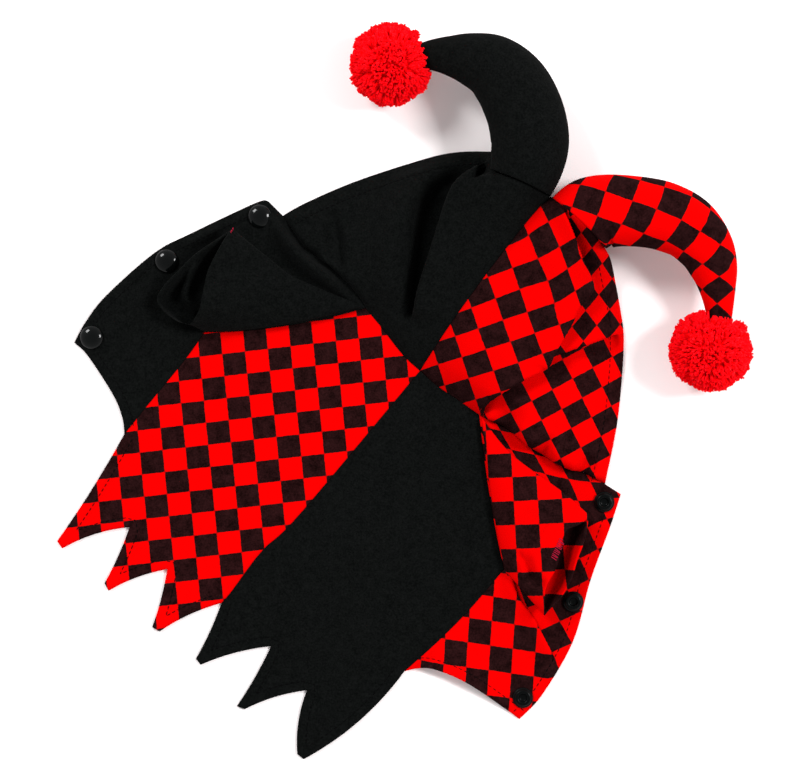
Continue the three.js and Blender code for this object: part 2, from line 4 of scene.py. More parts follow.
import bmesh
import bpy
import numpy as np
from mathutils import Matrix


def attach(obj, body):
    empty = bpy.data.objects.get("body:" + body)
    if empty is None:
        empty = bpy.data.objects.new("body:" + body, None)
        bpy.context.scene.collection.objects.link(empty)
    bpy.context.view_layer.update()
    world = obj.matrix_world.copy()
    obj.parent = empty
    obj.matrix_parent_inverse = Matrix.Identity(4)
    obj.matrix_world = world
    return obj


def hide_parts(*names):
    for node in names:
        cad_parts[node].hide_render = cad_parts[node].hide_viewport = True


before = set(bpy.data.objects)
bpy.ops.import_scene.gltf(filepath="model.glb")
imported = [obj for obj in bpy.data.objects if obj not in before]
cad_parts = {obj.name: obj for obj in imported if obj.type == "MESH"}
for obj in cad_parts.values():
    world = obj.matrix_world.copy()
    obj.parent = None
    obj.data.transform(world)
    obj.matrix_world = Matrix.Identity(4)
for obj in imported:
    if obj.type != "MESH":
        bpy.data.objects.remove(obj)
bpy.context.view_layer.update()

# All sizes are in millimetres, in the garment's own frame: X to the right, Y to the hood, Z up.
MM = 0.001

# Cloth: thickness, turned hems, the dips along seams, and the mesh's steps
CLOTH = 1.5
HOOD_CLOTH = 1.7
HEM_RISE = 0.55
HEM_WIDTH = 5.6
STITCH_INSET = 5.0
STITCH_DIP = 0.35
FACE_STITCH_INSET = 7.3
FACE_STITCH_DIP = 0.4
SEAM_DIP = 0.75
SEAM_WIDTH = 1.7
HOOD_SEAM_DIP = 1.0
HOOD_SEAM_WIDTH = 1.9
THINNEST = 0.6
HOOD_THINNEST = 0.7
PANEL_STEP = 1.25
HOOD_STEP = 1.1
RIM_STEPS = [0.25, 0.55, 0.95]

# Slow waves of the cloth: height, length, and how far from an edge they reach full height
PANEL_WAVE = (0.35, 70, 25)
PANEL_RIPPLE = (0.5, 34, 12)
HOOD_WAVE = (0.8, 42, 16)
# Pucker along the seams: its share of the dip, and its length
PUCKER = (0.35, 7)
HOOD_PUCKER = (0.3, 8)
# How far from an edge the folds reach full height
FOLD_MARGIN = 6
HOOD_FOLD_MARGIN = 7


def named(columns, rows):
    """Rows of a table, each with the names of its columns."""
    return [dict(zip(columns.split(), row)) for row in rows]


def lattice(*rows):
    """How printed squares lie: a corner, its number, a square across and down, and how far the row counts."""
    return named("corner square across down reach", rows)


def printed(rows, *parts):
    """A print. Where a fold hides a strip, another lattice shows on one side of the fold's line."""
    return {"rows": rows, "parts": named("rows line side width", parts)}


def laps(*rows):
    """Lapped folds of one piece.

    Each has its line, the side of the part below (1 is the line's left), how far that part goes under, the
    rise of the upper part with its spread, how far from a rim it reaches full height, the drop of the lower
    part with its spread along the line, and the shares of the line over which it fades at its two ends.
    """
    return named("line below lap rise over margin drop under fades", rows)


def fold(path, rise, left, right=None, rim="held"):
    """A soft fold: its path in plan, its rise (a trough is negative) and its spread to its left and right."""
    left, right = (side if isinstance(side, list) else [side] * len(path)
                   for side in (left, left if right is None else right))
    return {"path": path, "rise": rise, "left": left, "right": right, "rim": rim}


# Corners of the cut
NAPE = (9.5, 12.0)
SHOULDER_LEFT = (-18.8, 45.1)
UNDERARM_LEFT = (-103.6, 32.5)
SIDE_HEM_LEFT = (-145.6, -21.1)
NECK_FRONT_LEFT = (-70.0, 101.0)
BELLY_TIP_LEFT = (-171.9, 26.9)
SHOULDER_RIGHT = (40.5, -11.1)
UNDERARM_RIGHT = (53.6, -92.0)
SIDE_HEM_RIGHT = (1.4, -145.5)
NECK_FRONT_RIGHT = (106.6, -47.4)
COLLAR_RIGHT = (114.9, -52.6)
BELLY_TIP_RIGHT = (61.6, -170.7)
CENTRE_HEM = (-94.7, -109.8)
FACE_START_LEFT = (-62.4, 93.4)
CROWN = (76.9, 101.5)
HORN_FACE_LEFT = (45.3, 115.5)
HORN_FACE_RIGHT = (105.8, 75.1)

# Seams and free edges
CENTRE_BACK = [NAPE, (-53.5, -63.1), (-73.4, -82.5), (-89.7, -104.1), CENTRE_HEM]
NECK_BACK_LEFT = [NAPE, (0.1, 20.9), (-12.0, 36.6), SHOULDER_LEFT]
NECK_FLAP_LEFT = [SHOULDER_LEFT, (-24.1, 52.9), (-36.2, 65.5), (-50.3, 76.5), FACE_START_LEFT]
ARMHOLE_LEFT = [SHOULDER_LEFT, (-37.2, 40.3), (-61.4, 35.6), (-84.5, 33.0), UNDERARM_LEFT]
SIDE_LEFT = [UNDERARM_LEFT, (-113.9, 17.8), (-133.8, -6.4), SIDE_HEM_LEFT]
FRONT_LEFT = [
    NECK_FRONT_LEFT, (-76.6, 100.2), (-109.7, 84.6), (-129.6, 74.1), (-154.8, 51.9),
    (-165.8, 37.9), BELLY_TIP_LEFT,
]
LEG_LEFT = [SIDE_HEM_LEFT, (-146.8, -12.2), (-151.8, -0.1), (-164.8, 19.9), BELLY_TIP_LEFT]
NECK_BACK_RIGHT = [NAPE, (18.4, 4.1), (28.4, -2.7), SHOULDER_RIGHT]
NECK_FLAP_RIGHT = [
    SHOULDER_RIGHT, (56.2, -19.0), (66.7, -27.4), (81.4, -36.3), (96.7, -42.1), NECK_FRONT_RIGHT,
]
ARMHOLE_RIGHT = [SHOULDER_RIGHT, (44.2, -41.1), (48.9, -69.9), UNDERARM_RIGHT]
SIDE_RIGHT = [UNDERARM_RIGHT, (34.7, -114.0), (17.4, -131.3), SIDE_HEM_RIGHT]
FRONT_RIGHT = [
    COLLAR_RIGHT, (109.1, -70.2), (99.0, -97.8), (89.8, -129.8), (73.8, -157.6), BELLY_TIP_RIGHT,
]
LEG_RIGHT = [SIDE_HEM_RIGHT, (14.8, -143.7), (33.7, -151.1), (54.7, -165.5), BELLY_TIP_RIGHT]
HOOD_CENTRE_SEAM = [NAPE, (18.3, 26.0), (34.8, 50.0), (53.8, 75.3), (69.6, 95.0), CROWN]
HOOD_CORNER_LEFT = (50.0, 126.4)
HORN_SEAM_LEFT = [CROWN, (61.0, 108.5), (48.2, 114.0), (46.4, 118.2), (47.2, 122.5), HOOD_CORNER_LEFT]
HOOD_FACE_LEFT = [
    FACE_START_LEFT, (-50.3, 100.2), (-24.1, 111.5), (10.6, 122.8), (29.3, 126.6), HOOD_CORNER_LEFT,
]
HOOD_FACE_RIGHT = [
    NECK_FRONT_RIGHT, (113.2, -13.8), (116.4, 24.1), (115.0, 42.1), (109.8, 66.3), HORN_FACE_RIGHT,
]

# Hem points of the back: two corners of each blunt tip, the notch after it, and the sides' bow
HEM_LEFT = named("near far notch bow", [
    ((-180.9, -77.3), (-178.2, -81.2), (-142.9, -69.9), 2.0),
    ((-156.0, -99.3), (-153.9, -103.4), (-123.1, -92.0), 1.5),
    ((-131.0, -122.4), (-127.1, -124.7), CENTRE_HEM, 1.5),
])
HEM_RIGHT = named("near far notch bow", [
    ((-108.1, -139.0), (-105.6, -142.2), (-68.7, -132.4), 1.5),
    ((-86.6, -163.9), (-82.5, -165.5), (-49.8, -155.5), 1.5),
    ((-54.9, -189.1), (-51.4, -191.7), SIDE_HEM_RIGHT, -4.0),
])

# Hood sections from the neck seam to the horn's seam: heights at the centre seam, half way, face edge
HOOD_SECTIONS_LEFT = named("along centre half edge", [
    (0.0, 0, 0, 0), (0.12, 8, 7, 0), (0.35, 18, 12, 0), (0.62, 25, 19, 0), (0.84, 28, 32, 3),
    (1.0, 28, 40, 8),
])
HOOD_SECTIONS_RIGHT = named("along centre half edge", [
    (0.0, 0, 0, 0), (0.12, 8, 14, 0), (0.35, 18, 21, 0), (0.62, 25, 26, 0), (0.84, 28, 34, 3),
    (1.0, 28, 43, 18),
])

# Lines where one part of the cloth laps over the next
TUCK_LINE = [
    (41.5, -12.8), (45.1, -5.2), (51.1, -0.6), (61.5, 5.7), (71.8, 10.8), (84.4, 18.6), (94.7, 24.2),
    (104.3, 27.9), (114.9, 32.0),
]
PLEAT_LINE = [
    (82.0, 96.8), (84.8, 90.4), (88.4, 82.0), (91.6, 74.0), (94.6, 67.0), (98.2, 60.6), (99.6, 56.2),
    (99.1, 52.3), (91.9, 43.9), (88.0, 35.2), (84.0, 28.5), (79.5, 20.5), (75.8, 12.0),
]
CREASE_LINE = [
    (55.1, -89.7), (57.0, -92.3), (60.0, -102.8), (63.5, -109.6), (67.9, -114.9), (70.8, -120.1),
    (75.4, -129.0), (77.6, -133.2), (78.7, -137.4), (77.6, -143.7),
]
RIDGE_LINE = [
    (45.2, 121.6), (39.2, 118.4), (31.0, 113.6), (24.8, 106.6), (19.7, 92.7), (14.5, 75.7), (7.8, 54.5),
    (4.7, 37.0),
]

# Soft folds
HOOD_FOLDS_LEFT = [
    fold([(24, 118), (6, 108), (-3, 92), (-6, 74), (-6, 56)],
         [0, 5, 7, 6, 3], [7, 8, 8, 7, 5], [9, 11, 11, 9, 6]),
    fold([(38, 112.2), (41, 114.8), (45.5, 117.5)], [-8, -26, -32], [1.4, 2.8, 4.2], [1, 1.8, 3]),
    fold([(-36, 92), (-34.2, 81), (-33, 70)], [-3, -11, -12], [2.6, 2.8, 2.8], [3.6, 4, 3.6]),
    fold([(56, 102), (44, 88), (36, 66), (29, 52)], [0, 1.6, 1.8, 0], [6, 7, 7, 6]),
]
HOOD_FOLDS_RIGHT = [
    fold([(51.5, -20), (53.5, -14), (57, -9)], [-4, -4, 0], 2.4),
    fold([(97.5, -42), (98.5, -37), (97.5, -31)], [-5, -5, 0], 2.4),
    fold([(72.5, -31), (75, -26), (79, -21)], [-4, -3, 0], 2.6),
    fold([(58, -16), (68, -21), (80, -29), (92, -34)], [1.5, 3, 3, 2], 5, 4),
    fold([(66, 92), (74, 74), (78, 58)], [0, 1.5, 0], 6),
]
FLAP_FOLDS_LEFT = [
    fold([(-67, 91), (-62.4, 84.2), (-49.6, 70.4), (-36.4, 59.6), (-25.4, 48.8)],
         [3, 11, 12, 10, 3], [4.4, 5, 5, 4.4, 3], [4.6, 5.6, 5.8, 4.6, 2.6]),
    fold([(-90, 92), (-100, 86.6), (-110, 80.8), (-115.5, 76.5)],
         [1.5, 5, 4, 0], [3.2, 3.4, 3.4, 3], [3.4, 3.6, 3.4, 3]),
    fold([(-126, 58), (-134, 50), (-135, 42)], [0, 3.5, 2], [4, 5, 5]),
    fold([(-134, 44), (-126, 33), (-112, 27)], [1.5, 2.4, 1.5], 5, 7),
]
FLAP_FOLDS_RIGHT = [
    fold([(6, -146), (22, -147), (36, -153), (48, -161)], [3, 7, 6, 2], [9, 10, 10, 8], rim="raised"),
    fold([(101, -62), (98, -75), (93, -90), (90, -101)], [0, 1.6, 1.6, 0], 4),
]

# Lapped folds
LAPS_HOOD_LEFT = laps(
    (RIDGE_LINE, -1, 3.4, 6.0, 8, 6, [3, 8, 26, 44, 44, 42, 34, 20, 6], [4, 4.5, 6.5, 6.5, 6, 5, 4, 3, 2.4],
     (0.04, 0.08)),
)
LAPS_HOOD_RIGHT = laps(
    (PLEAT_LINE, 1, 2.6, 1.8, 7, 2.4, [16, 18, 12, 5, 4.5, 4.5, 4.5], [5, 5, 5, 6, 6, 6, 6], (0.01, 0.01)),
    (TUCK_LINE, -1, 3.0, 2.2, 7, 6, [5.5], [7], (0.03, 0.06)),
)
LAPS_FLAP_RIGHT = laps(
    (CREASE_LINE, 1, 2.0, 3.2, 7, 6, [0], [5], (0.06, 0.14)),
)
# Bulges of the hood over its neck seam: the place along the seam and how far each swells out
NECK_BULGES = named("along out", [
    (0.0, 0.0), (0.06, 2.2), (0.19, 0.6), (0.28, 2.4), (0.40, 2.8), (0.52, 0.7), (0.62, 2.6), (0.75, 3.0),
    (0.83, 0.5), (0.91, 2.0), (1.0, 0.0),
])
NECK_BULGES_LEFT = named("along out", [
    (0.0, 0.4), (0.3, 1.6), (0.5, 2.2), (0.58, 0.6), (0.7, 1.8), (0.9, 1.0), (1.0, 0.0),
])
BULGE_REACH = 3.4
BULGE_RISE = 2.2
LAP_EDGE = 2.4
LAP_RUN = 9.0
LAP_ROUND = 0.9

# Sleeves: plan curves of the upper fold and of both layers at the cuff, the tube's depths, and the lift of
# the lower layer's lip at the cuff
SLEEVE_LEFT = {
    "armhole": ARMHOLE_LEFT,
    "fold": [SHOULDER_LEFT, (-54.1, 59.8), (-67.1, 69.1), (-88.3, 86.2)],
    "upper": [(-88.3, 86.2), (-99.7, 66.4), (-102.6, 55.5), (-104.0, 44.0), (-109.5, 35.6)],
    "lower": [
        (-88.3, 86.2), (-106.5, 73.9), (-115.4, 65.0), (-124.9, 55.0), (-127.7, 47.1),
        (-119.6, 37.9), (-109.5, 35.6),
    ],
    "seam_depth": 2.6,
    "cuff_depth": 17.0,
    "lip": 12.5,
    "folds": [
        fold([(-60, 62), (-76, 66), (-94, 66)], [0, -1.5, -2], [3, 4, 5]),
        fold([(-62, 42), (-82, 44), (-100, 47)], [0, 1.2, 1.5], [4, 5, 6]),
    ],
    "inner_folds": [
        fold([(-104, 72), (-110, 62), (-113, 52), (-108, 43)], [2, 9, 10, 5], [1.7, 2, 2, 1.8]),
    ],
}
SLEEVE_RIGHT = {
    "armhole": ARMHOLE_RIGHT,
    "fold": [SHOULDER_RIGHT, (56.7, -30.9), (83.9, -51.1), (97.8, -63.5)],
    "upper": [
        (97.8, -63.5), (92.0, -67.6), (85.3, -70.6), (82.5, -78.6), (80.4, -90.0), (74.6, -100.4),
        (73.6, -108.0), (74.4, -115.8),
    ],
    "lower": [
        (97.8, -63.5), (96.4, -74.5), (91.7, -85.5), (88.0, -97.0), (82.8, -106.9), (74.4, -115.8),
    ],
    "seam_depth": 3.4,
    "cuff_depth": 16.0,
    "lip": 12.0,
    "folds": [
        fold([(65.9, -86.8), (67.5, -94.6), (72.2, -98.8)], [-2, -5, -4], [1.8, 2, 2], 2.4),
        fold([(61.7, -84.2), (64.9, -89.4)], [-2, -2], 1.2),
        fold([(71.6, -73.7), (76.3, -68), (83.1, -67.5)], [-0.6, -1.2, -0.8], [0.9, 1, 1]),
        fold([(60, -50), (74, -60), (88, -66)], [0, 1.5, 1], [4, 5, 5]),
    ],
    "inner_folds": [],
}
LIP_START = 0.89

# Horn sections along the spine: centre, half width in plan, height of the centre
HORN_DEPTH = 0.92
HORN_LEFT = named("x y half z", [
    (61.3, 109.0, 17.3, 28), (64.0, 119.0, 19.4, 29), (65.8, 131.0, 20.4, 30), (63.4, 145.4, 20.2, 30),
    (56.8, 158.6, 19.4, 30), (46.8, 168.2, 17.2, 29), (35.1, 172.9, 13.8, 27), (23.8, 174.9, 10.2, 25),
    (14.6, 175.2, 7.8, 24), (7.8, 174.8, 5.8, 23),
])
HORN_RIGHT = named("x y half z", [
    (91.5, 88.3, 19.4, 28), (98.6, 93.0, 19.6, 29), (109.6, 94.4, 19.0, 30), (123.2, 93.9, 18.3, 30),
    (135.6, 91.3, 17.7, 30), (147.6, 85.4, 16.8, 29), (156.4, 75.4, 14.9, 28), (161.0, 64.8, 12.4, 26),
    (163.2, 53.6, 9.3, 25), (164.2, 42.3, 7.0, 24), (164.2, 36.6, 5.8, 23.5),
])

# Pompoms and snaps
POMPOM_RADIUS = 21.3
POMPOM_HEIGHT = 22.6
POMPOM_LEFT = (-5.8, 170.4)
POMPOM_RIGHT = (159.8, 22.7)
CAP_CENTRES = [(-74.5, 93.1), (-123.3, 69.6), (-162.6, 29.6)]
SOCKET_CENTRES = [(106.0, -56.7), (89.8, -108.9), (63.4, -159.3)]

# How the printed squares lie
PRINT_BACK = lattice(
    ((-80.0, -0.9), (0, 0), (11.93, 1.37), (1.13, -11.55), 60),
)
PRINT_HOOD_UPPER = lattice(
    ((44.5, 60.2), (0, 0), (12.35, 4.7), (3.84, -10.91), 30),
    ((75.1, 88.3), (3, -1), (10.28, 5.65), (5.45, -12.54), 14),
    ((85.1, 64.3), (3, 1), (8.99, 5.76), (4.32, -11.41), 12),
    ((92.2, 69.5), (4, 1), (6.95, 5.14), (5.14, -10.29), 8),
    ((89.4, 53.1), (3, 2), (9.26, 6.12), (4.11, -10.8), 12),
    ((68.6, 31.4), (1, 3), (12.52, 4.38), (4.07, -10.66), 18),
    ((43.4, 23.0), (-1, 3), (12.57, 4.03), (4.09, -10.96), 18),
    ((31.2, 19.1), (-2, 3), (12.25, 3.63), (3.43, -10.9), 18),
)
PRINT_HOOD_SIDE = lattice(
    ((95.5, 43.3), (0, 0), (7.12, 8.36), (5.83, -7.63), 30),
)
PRINT_HOOD_LOW = lattice(
    ((78.1, 2.1), (0, 0), (10.69, 5.78), (5.1, -10.03), 30),
)
PRINT_FLAP_LOW = lattice(
    ((47.2, -119.2), (0, 0), (11.83, -1.74), (-0.85, -12.81), 25),
)
PRINT_FLAP_FRONT = lattice(
    ((51.7, -19.3), (5, -7), (12.2, -2.6), (5.7, -10.0), 24),
    ((93.3, -86.3), (6, -2), (9.43, 4.87), (5.24, -10.74), 12),
    ((87.0, -102.8), (5, -1), (10.27, 4.82), (5.87, -11.53), 12),
    ((82.9, -119.3), (4, 0), (11.21, 5.24), (6.29, -11.53), 14),
)
PRINT_SLEEVE = lattice(
    ((58.3, -55.9), (0, 0), (12.47, 0.66), (0.65, -12.43), 25),
)
PRINT_HORN = lattice(
    ((104.0, 103.3), (0, 0), (13.11, -4.59), (-4.75, -12.76), 10),
    ((129.8, 94.1), (2, 0), (12.39, -5.2), (-5.56, -12.19), 10),
    ((152.4, 83.0), (4, 0), (10.22, -5.93), (-7.31, -11.24), 9),
    ((172.2, 71.0), (6, 0), (8.74, -6.17), (-9.2, -10.64), 8),
    ((99.5, 90.7), (0, 1), (12.58, -4.58), (-4.4, -10.74), 9),
    ((123.4, 82.1), (2, 1), (11.52, -4.35), (-6.65, -9.21), 9),
    ((144.1, 72.8), (4, 1), (9.33, -5.69), (-8.71, -9.23), 9),
    ((162.9, 60.3), (6, 1), (8.78, -5.9), (-8.88, -6.0), 8),
    ((162.2, 46.5), (7, 2), (8.23, -7.2), (-8.75, -7.2), 8),
    ((134.4, 106.2), (2, -1), (13.0, -4.04), (-4.04, -11.72), 8),
    ((158.7, 95.3), (4, -1), (10.1, -6.77), (-5.84, -12.1), 8),
)

# The prints of the pieces, and how far past the line of a fold the next lattice starts
PRINT_OFFSET = 1.5
HOOD_PRINT = printed(
    PRINT_HOOD_UPPER, (PRINT_HOOD_SIDE, PLEAT_LINE, 1, [0.5]), (PRINT_HOOD_LOW, TUCK_LINE, -1, [0.5]))
FLAP_PRINT = printed(PRINT_FLAP_LOW, (PRINT_FLAP_FRONT, CREASE_LINE, 1, [0.5, 0.5, 0.5, 0.5, 4, 16]))
BACK_PRINT, SLEEVE_PRINT, HORN_PRINT = printed(PRINT_BACK), printed(PRINT_SLEEVE), printed(PRINT_HORN)

# Steps of lines, smooth curves and bows
LINE_STEP = 1.5
CURVE_STEPS = 16
BOW_STEPS = 24


def spline(before, start, end, after, share):
    """Points of a smooth curve from start to end, between its neighbours."""
    lean, turn = (end - before) / 2, (after - start) / 2
    return ((2 * start - 2 * end + lean + turn) * share ** 3
            + (-3 * start + 3 * end - 2 * lean - turn) * share ** 2 + lean * share + start)


def trace(*stretches):
    """Close points along lines (two points) and smooth curves (more) that follow each other."""
    line = [np.array(stretches[0][0], float)[None]]
    for stretch in stretches:
        points = np.array(stretch, float)
        if len(points) == 2:
            count = max(2, int(np.linalg.norm(points[1] - points[0]) / LINE_STEP))
            share = np.linspace(0, 1, count + 1)[1:, None]
            line.append(points[0] * (1 - share) + points[1] * share)
            continue
        held = np.vstack([points[:1], points, points[-1:]])
        share = np.linspace(0, 1, CURVE_STEPS + 1)[1:, None]
        line += [spline(*held[k:k + 4], share) for k in range(len(points) - 1)]
    return np.vstack(line)


def lengths(line):
    """Length along a line up to each of its points."""
    steps = np.linalg.norm(np.diff(line, axis=0), axis=1)
    return np.concatenate([[0], np.cumsum(steps)])


def at(line, share):
    """Points at shares of a line's length."""
    along = lengths(line)
    want = np.asarray(share) * along[-1]
    return np.stack([np.interp(want, along, line[:, k]) for k in range(line.shape[1])], axis=-1)


def bowed(start, end, bow):
    """A slightly bowed side between two points."""
    start, end = np.array(start, float), np.array(end, float)
    run = end - start
    across = np.array([run[1], -run[0]]) / np.linalg.norm(run)
    middle = (start + end) / 2 + across * bow * 2
    share = np.linspace(0, 1, BOW_STEPS + 1)[:, None]
    return start * (1 - share) ** 2 + middle * 2 * share * (1 - share) + end * share ** 2


def hem_sides(start, rows):
    """The sides of a zigzag hem in order, each a line of points."""
    sides, last = [], start
    for row in rows:
        near, far, notch, bow = row["near"], row["far"], row["notch"], row["bow"]
        sides += [bowed(last, near, -bow * 0.5), bowed(near, far, 0), bowed(far, notch, -bow)]
        last = notch
    return sides


def joined(parts):
    """One line from lines that follow each other."""
    return np.vstack([parts[0]] + [part[1:] for part in parts[1:]])


def stations(parts, step, extra=()):
    """Shares along joined lines: every joint, even steps between them, and fine steps at both ends."""
    ends = np.cumsum([lengths(part)[-1] for part in parts])
    total = ends[-1]
    places = [0.0]
    start = 0.0
    for end in ends:
        count = max(1, int(round((end - start) / step)))
        places.extend(start + (end - start) * (k + 1) / count for k in range(count))
        start = end
    corners = [share * total for share in extra]
    places = [p for p in places if all(abs(p - c) > 0.6 * step for c in corners)] + corners
    low, high = RIM_STEPS[-1] * 1.4, total - RIM_STEPS[-1] * 1.4
    places = [p for p in places if low < p < high]
    places = [0.0, *RIM_STEPS, *sorted(places), *[total - s for s in reversed(RIM_STEPS)], total]
    return np.array(places) / total


def patch(top, bottom, left, right, columns, rows):
    """Plan points of a four-sided patch between its edges."""
    u, v = columns[None, :, None], rows[:, None, None]
    a, b = at(top, columns)[None], at(bottom, columns)[None]
    c, d = at(left, rows)[:, None], at(right, rows)[:, None]
    corners = (a[:, :1] * (1 - u) * (1 - v) + a[:, -1:] * u * (1 - v)
               + b[:, :1] * (1 - u) * v + b[:, -1:] * u * v)
    return a * (1 - v) + b * v + c * (1 - u) + d * u - corners


def nearest(points, line):
    """Signed distance of points to a line (left is positive) and the share of its length there."""
    flat = points.reshape(-1, 2)
    best = np.full(len(flat), 1e9)
    side = np.zeros(len(flat))
    share = np.zeros(len(flat))
    along = lengths(line)
    for k in range(len(line) - 1):
        run = line[k + 1] - line[k]
        size = run @ run
        if size < 1e-9:
            continue
        offset = flat - line[k]
        t = np.clip(offset @ run / size, 0, 1)
        gap = offset - t[:, None] * run
        far = np.einsum("ij,ij->i", gap, gap)
        closer = far < best
        best[closer] = far[closer]
        side[closer] = (run[0] * offset[:, 1] - run[1] * offset[:, 0])[closer]
        share[closer] = ((along[k] + t * math.sqrt(size)) / along[-1])[closer]
    shape = points.shape[:-1]
    return (np.sqrt(best) * np.sign(side)).reshape(shape), share.reshape(shape)


def ease(x):
    """A smooth step from 0 to 1."""
    x = np.clip(x, 0, 1)
    return x * x * (3 - 2 * x)


def along_line(share, values):
    """A value that runs evenly through the given ones along a line."""
    return np.interp(share, np.linspace(0, 1, len(values)), values)


def fold_height(plan, folds):
    """Height that the folds add: each a ridge or trough that fades out at both ends."""
    height = np.zeros(plan.shape[:-1])
    for row in folds:
        across, share = nearest(plan, trace(row["path"]))
        rise, left, right = (along_line(share, row[key]) for key in ("rise", "left", "right"))
        spread = np.where(across > 0, left, right)
        height += rise * np.exp(-(across / spread) ** 2)
    return height


def left_normals(line, share):
    """Unit directions to the left of a line at shares of its length."""
    tangent = np.gradient(line, axis=0)
    along = lengths(line) / lengths(line)[-1]
    heading = np.stack([np.interp(share, along, tangent[:, k]) for k in range(2)], axis=-1)
    heading /= np.linalg.norm(heading, axis=-1, keepdims=True) + 1e-9
    return np.stack([-heading[..., 1], heading[..., 0]], axis=-1)


def bulged(plan, seam, rows, inward):
    """Plan points near a seam moved out over it, and the height this adds."""
    across, share = nearest(plan, seam)
    distance = np.maximum(across * inward, 0)
    out = np.interp(share, [row["along"] for row in rows], [row["out"] for row in rows])
    size = out * (distance / BULGE_REACH) * np.exp(1 - distance / BULGE_REACH)
    return plan - left_normals(seam, share) * inward * size[..., None], size * BULGE_RISE


def lapped(plan, lap_rows, rim):
    """Plan points moved so that the cloth laps over itself along each line, and the height this adds."""
    moved = plan.copy()
    height = np.zeros(plan.shape[:-1])
    for lap in lap_rows:
        line = trace(lap["line"])
        across, share = nearest(plan, line)
        distance = across * lap["below"]
        start, end = lap["fades"]
        strength = ease(share / start) * ease((1 - share) / end) * ease(rim / lap["margin"])
        reach = lap["lap"] * strength
        back = -reach * ease(distance / LAP_EDGE)
        run = np.clip((distance - LAP_EDGE) / LAP_RUN, 0, 1)
        hidden = -reach + LAP_EDGE * (1 - strength)
        beyond = hidden * (1 - run) + (LAP_EDGE + LAP_RUN) * run
        beyond += np.maximum(distance - LAP_EDGE - LAP_RUN, 0)
        turned = np.where(distance <= LAP_EDGE, back + distance * (1 - strength), beyond)
        fresh = np.where(distance <= 0, distance, turned)
        moved += left_normals(line, share) * lap["below"] * (fresh - distance)[..., None]
        upper = lap["rise"] * np.exp(-(distance / lap["over"]) ** 2)
        drop, under = (along_line(share, lap[key]) for key in ("drop", "under"))
        lower = -drop * np.exp(-(np.maximum(distance - LAP_EDGE, 0) / under) ** 2)
        height += strength * (upper + (lower - upper) * ease((distance + LAP_ROUND) / (LAP_EDGE + LAP_ROUND)))
    return moved, height


def waves(plan, seed, scale):
    """Slow uneven waves between about -1 and 1."""
    rng = np.random.default_rng(seed)
    total = np.zeros(plan.shape[:-1])
    for _ in range(7):
        turn = rng.uniform(0, math.tau)
        length = scale * rng.uniform(0.6, 1.7)
        phase = rng.uniform(0, math.tau)
        run = plan[..., 0] * math.cos(turn) + plan[..., 1] * math.sin(turn)
        total += np.sin(run / length * math.tau + phase)
    return total / 3.2


def grid_normals(points):
    """Unit normals of a grid of points, pointing up."""
    along = np.gradient(points, axis=0)
    across = np.gradient(points, axis=1)
    normal = np.cross(across, along)
    normal /= np.linalg.norm(normal, axis=-1, keepdims=True) + 1e-12
    return normal if normal[..., 2].mean() > 0 else -normal


def print_place(plan, cloth_print, unfolded=None):
    """Where each point lies on the print, in squares, with the jumps at folds that hide a strip of it."""
    unfolded = plan if unfolded is None else unfolded
    place = blended(plan, cloth_print["rows"])
    for part in cloth_print["parts"]:
        side, along = nearest(unfolded, trace(part["line"]))
        width = along_line(along, part["width"])
        share = ease((side * part["side"] - PRINT_OFFSET) / width + 0.5)
        place = place * (1 - share[..., None]) + blended(plan, part["rows"]) * share[..., None]
    return place


def blended(plan, rows):
    """Squares of the print: the rows' lattices, blended by nearness."""
    total = np.zeros(plan.shape[:-1] + (2,))
    weights = np.zeros(plan.shape[:-1] + (1,))
    for row in rows:
        steps = np.array([row["across"], row["down"]], float).T
        offset = plan - np.array(row["corner"])
        place = offset @ np.linalg.inv(steps).T + np.array(row["square"], float)
        far = np.linalg.norm(offset, axis=-1, keepdims=True) / row["reach"]
        weight = 1.0 / (0.004 + far ** 2) ** 2
        total += place * weight
        weights += weight
    return total / weights


def build(name, points, faces, material, place=None):
    """A smooth mesh object from points in millimetres; place is each point's spot on the print."""
    mesh = bpy.data.meshes.new(name)
    mesh.from_pydata((np.asarray(points) * MM).tolist(), [], [list(f) for f in faces])
    if place is not None:
        layer = mesh.uv_layers.new(name="print")
        corners = np.empty(len(mesh.loops), dtype=np.int32)
        mesh.loops.foreach_get("vertex_index", corners)
        layer.data.foreach_set("uv", np.asarray(place)[corners].astype(np.float32).ravel())
    mesh.polygons.foreach_set("use_smooth", [True] * len(mesh.polygons))
    mesh.materials.append(material)
    mesh.update()
    obj = bpy.data.objects.new(name, mesh)
    bpy.context.scene.collection.objects.link(obj)
    return obj


def wall_faces(rows, columns):
    """Quads of a closed wall: an outer grid and an inner grid that share their rim points."""
    outer = np.arange(rows * columns).reshape(rows, columns)
    inner = outer + rows * columns
    inner[0], inner[-1], inner[:, 0], inner[:, -1] = outer[0], outer[-1], outer[:, 0], outer[:, -1]

    def quads(grid):
        return np.stack([grid[:-1, :-1], grid[:-1, 1:], grid[1:, 1:], grid[1:, :-1]], axis=-1).reshape(-1, 4)

    return np.vstack([quads(outer), quads(inner)[:, ::-1]])


def tidy_mesh(obj):
    """Drops unused points and turns the faces outwards."""
    work = bmesh.new()
    work.from_mesh(obj.data)
    bmesh.ops.delete(work, geom=[v for v in work.verts if not v.link_faces], context="VERTS")
    bmesh.ops.recalc_face_normals(work, faces=work.faces)
    work.to_mesh(obj.data)
    work.free()
    return obj


UPRIGHT_REACH = 1.6


def rounded(distance, thick):
    """Half thickness of cloth near its rim, rounded like a fold."""
    inside = np.clip(distance / (thick * 0.5), 0, 1)
    return thick * 0.5 * np.sqrt(np.clip(1 - (1 - inside) ** 2, 0, 1))


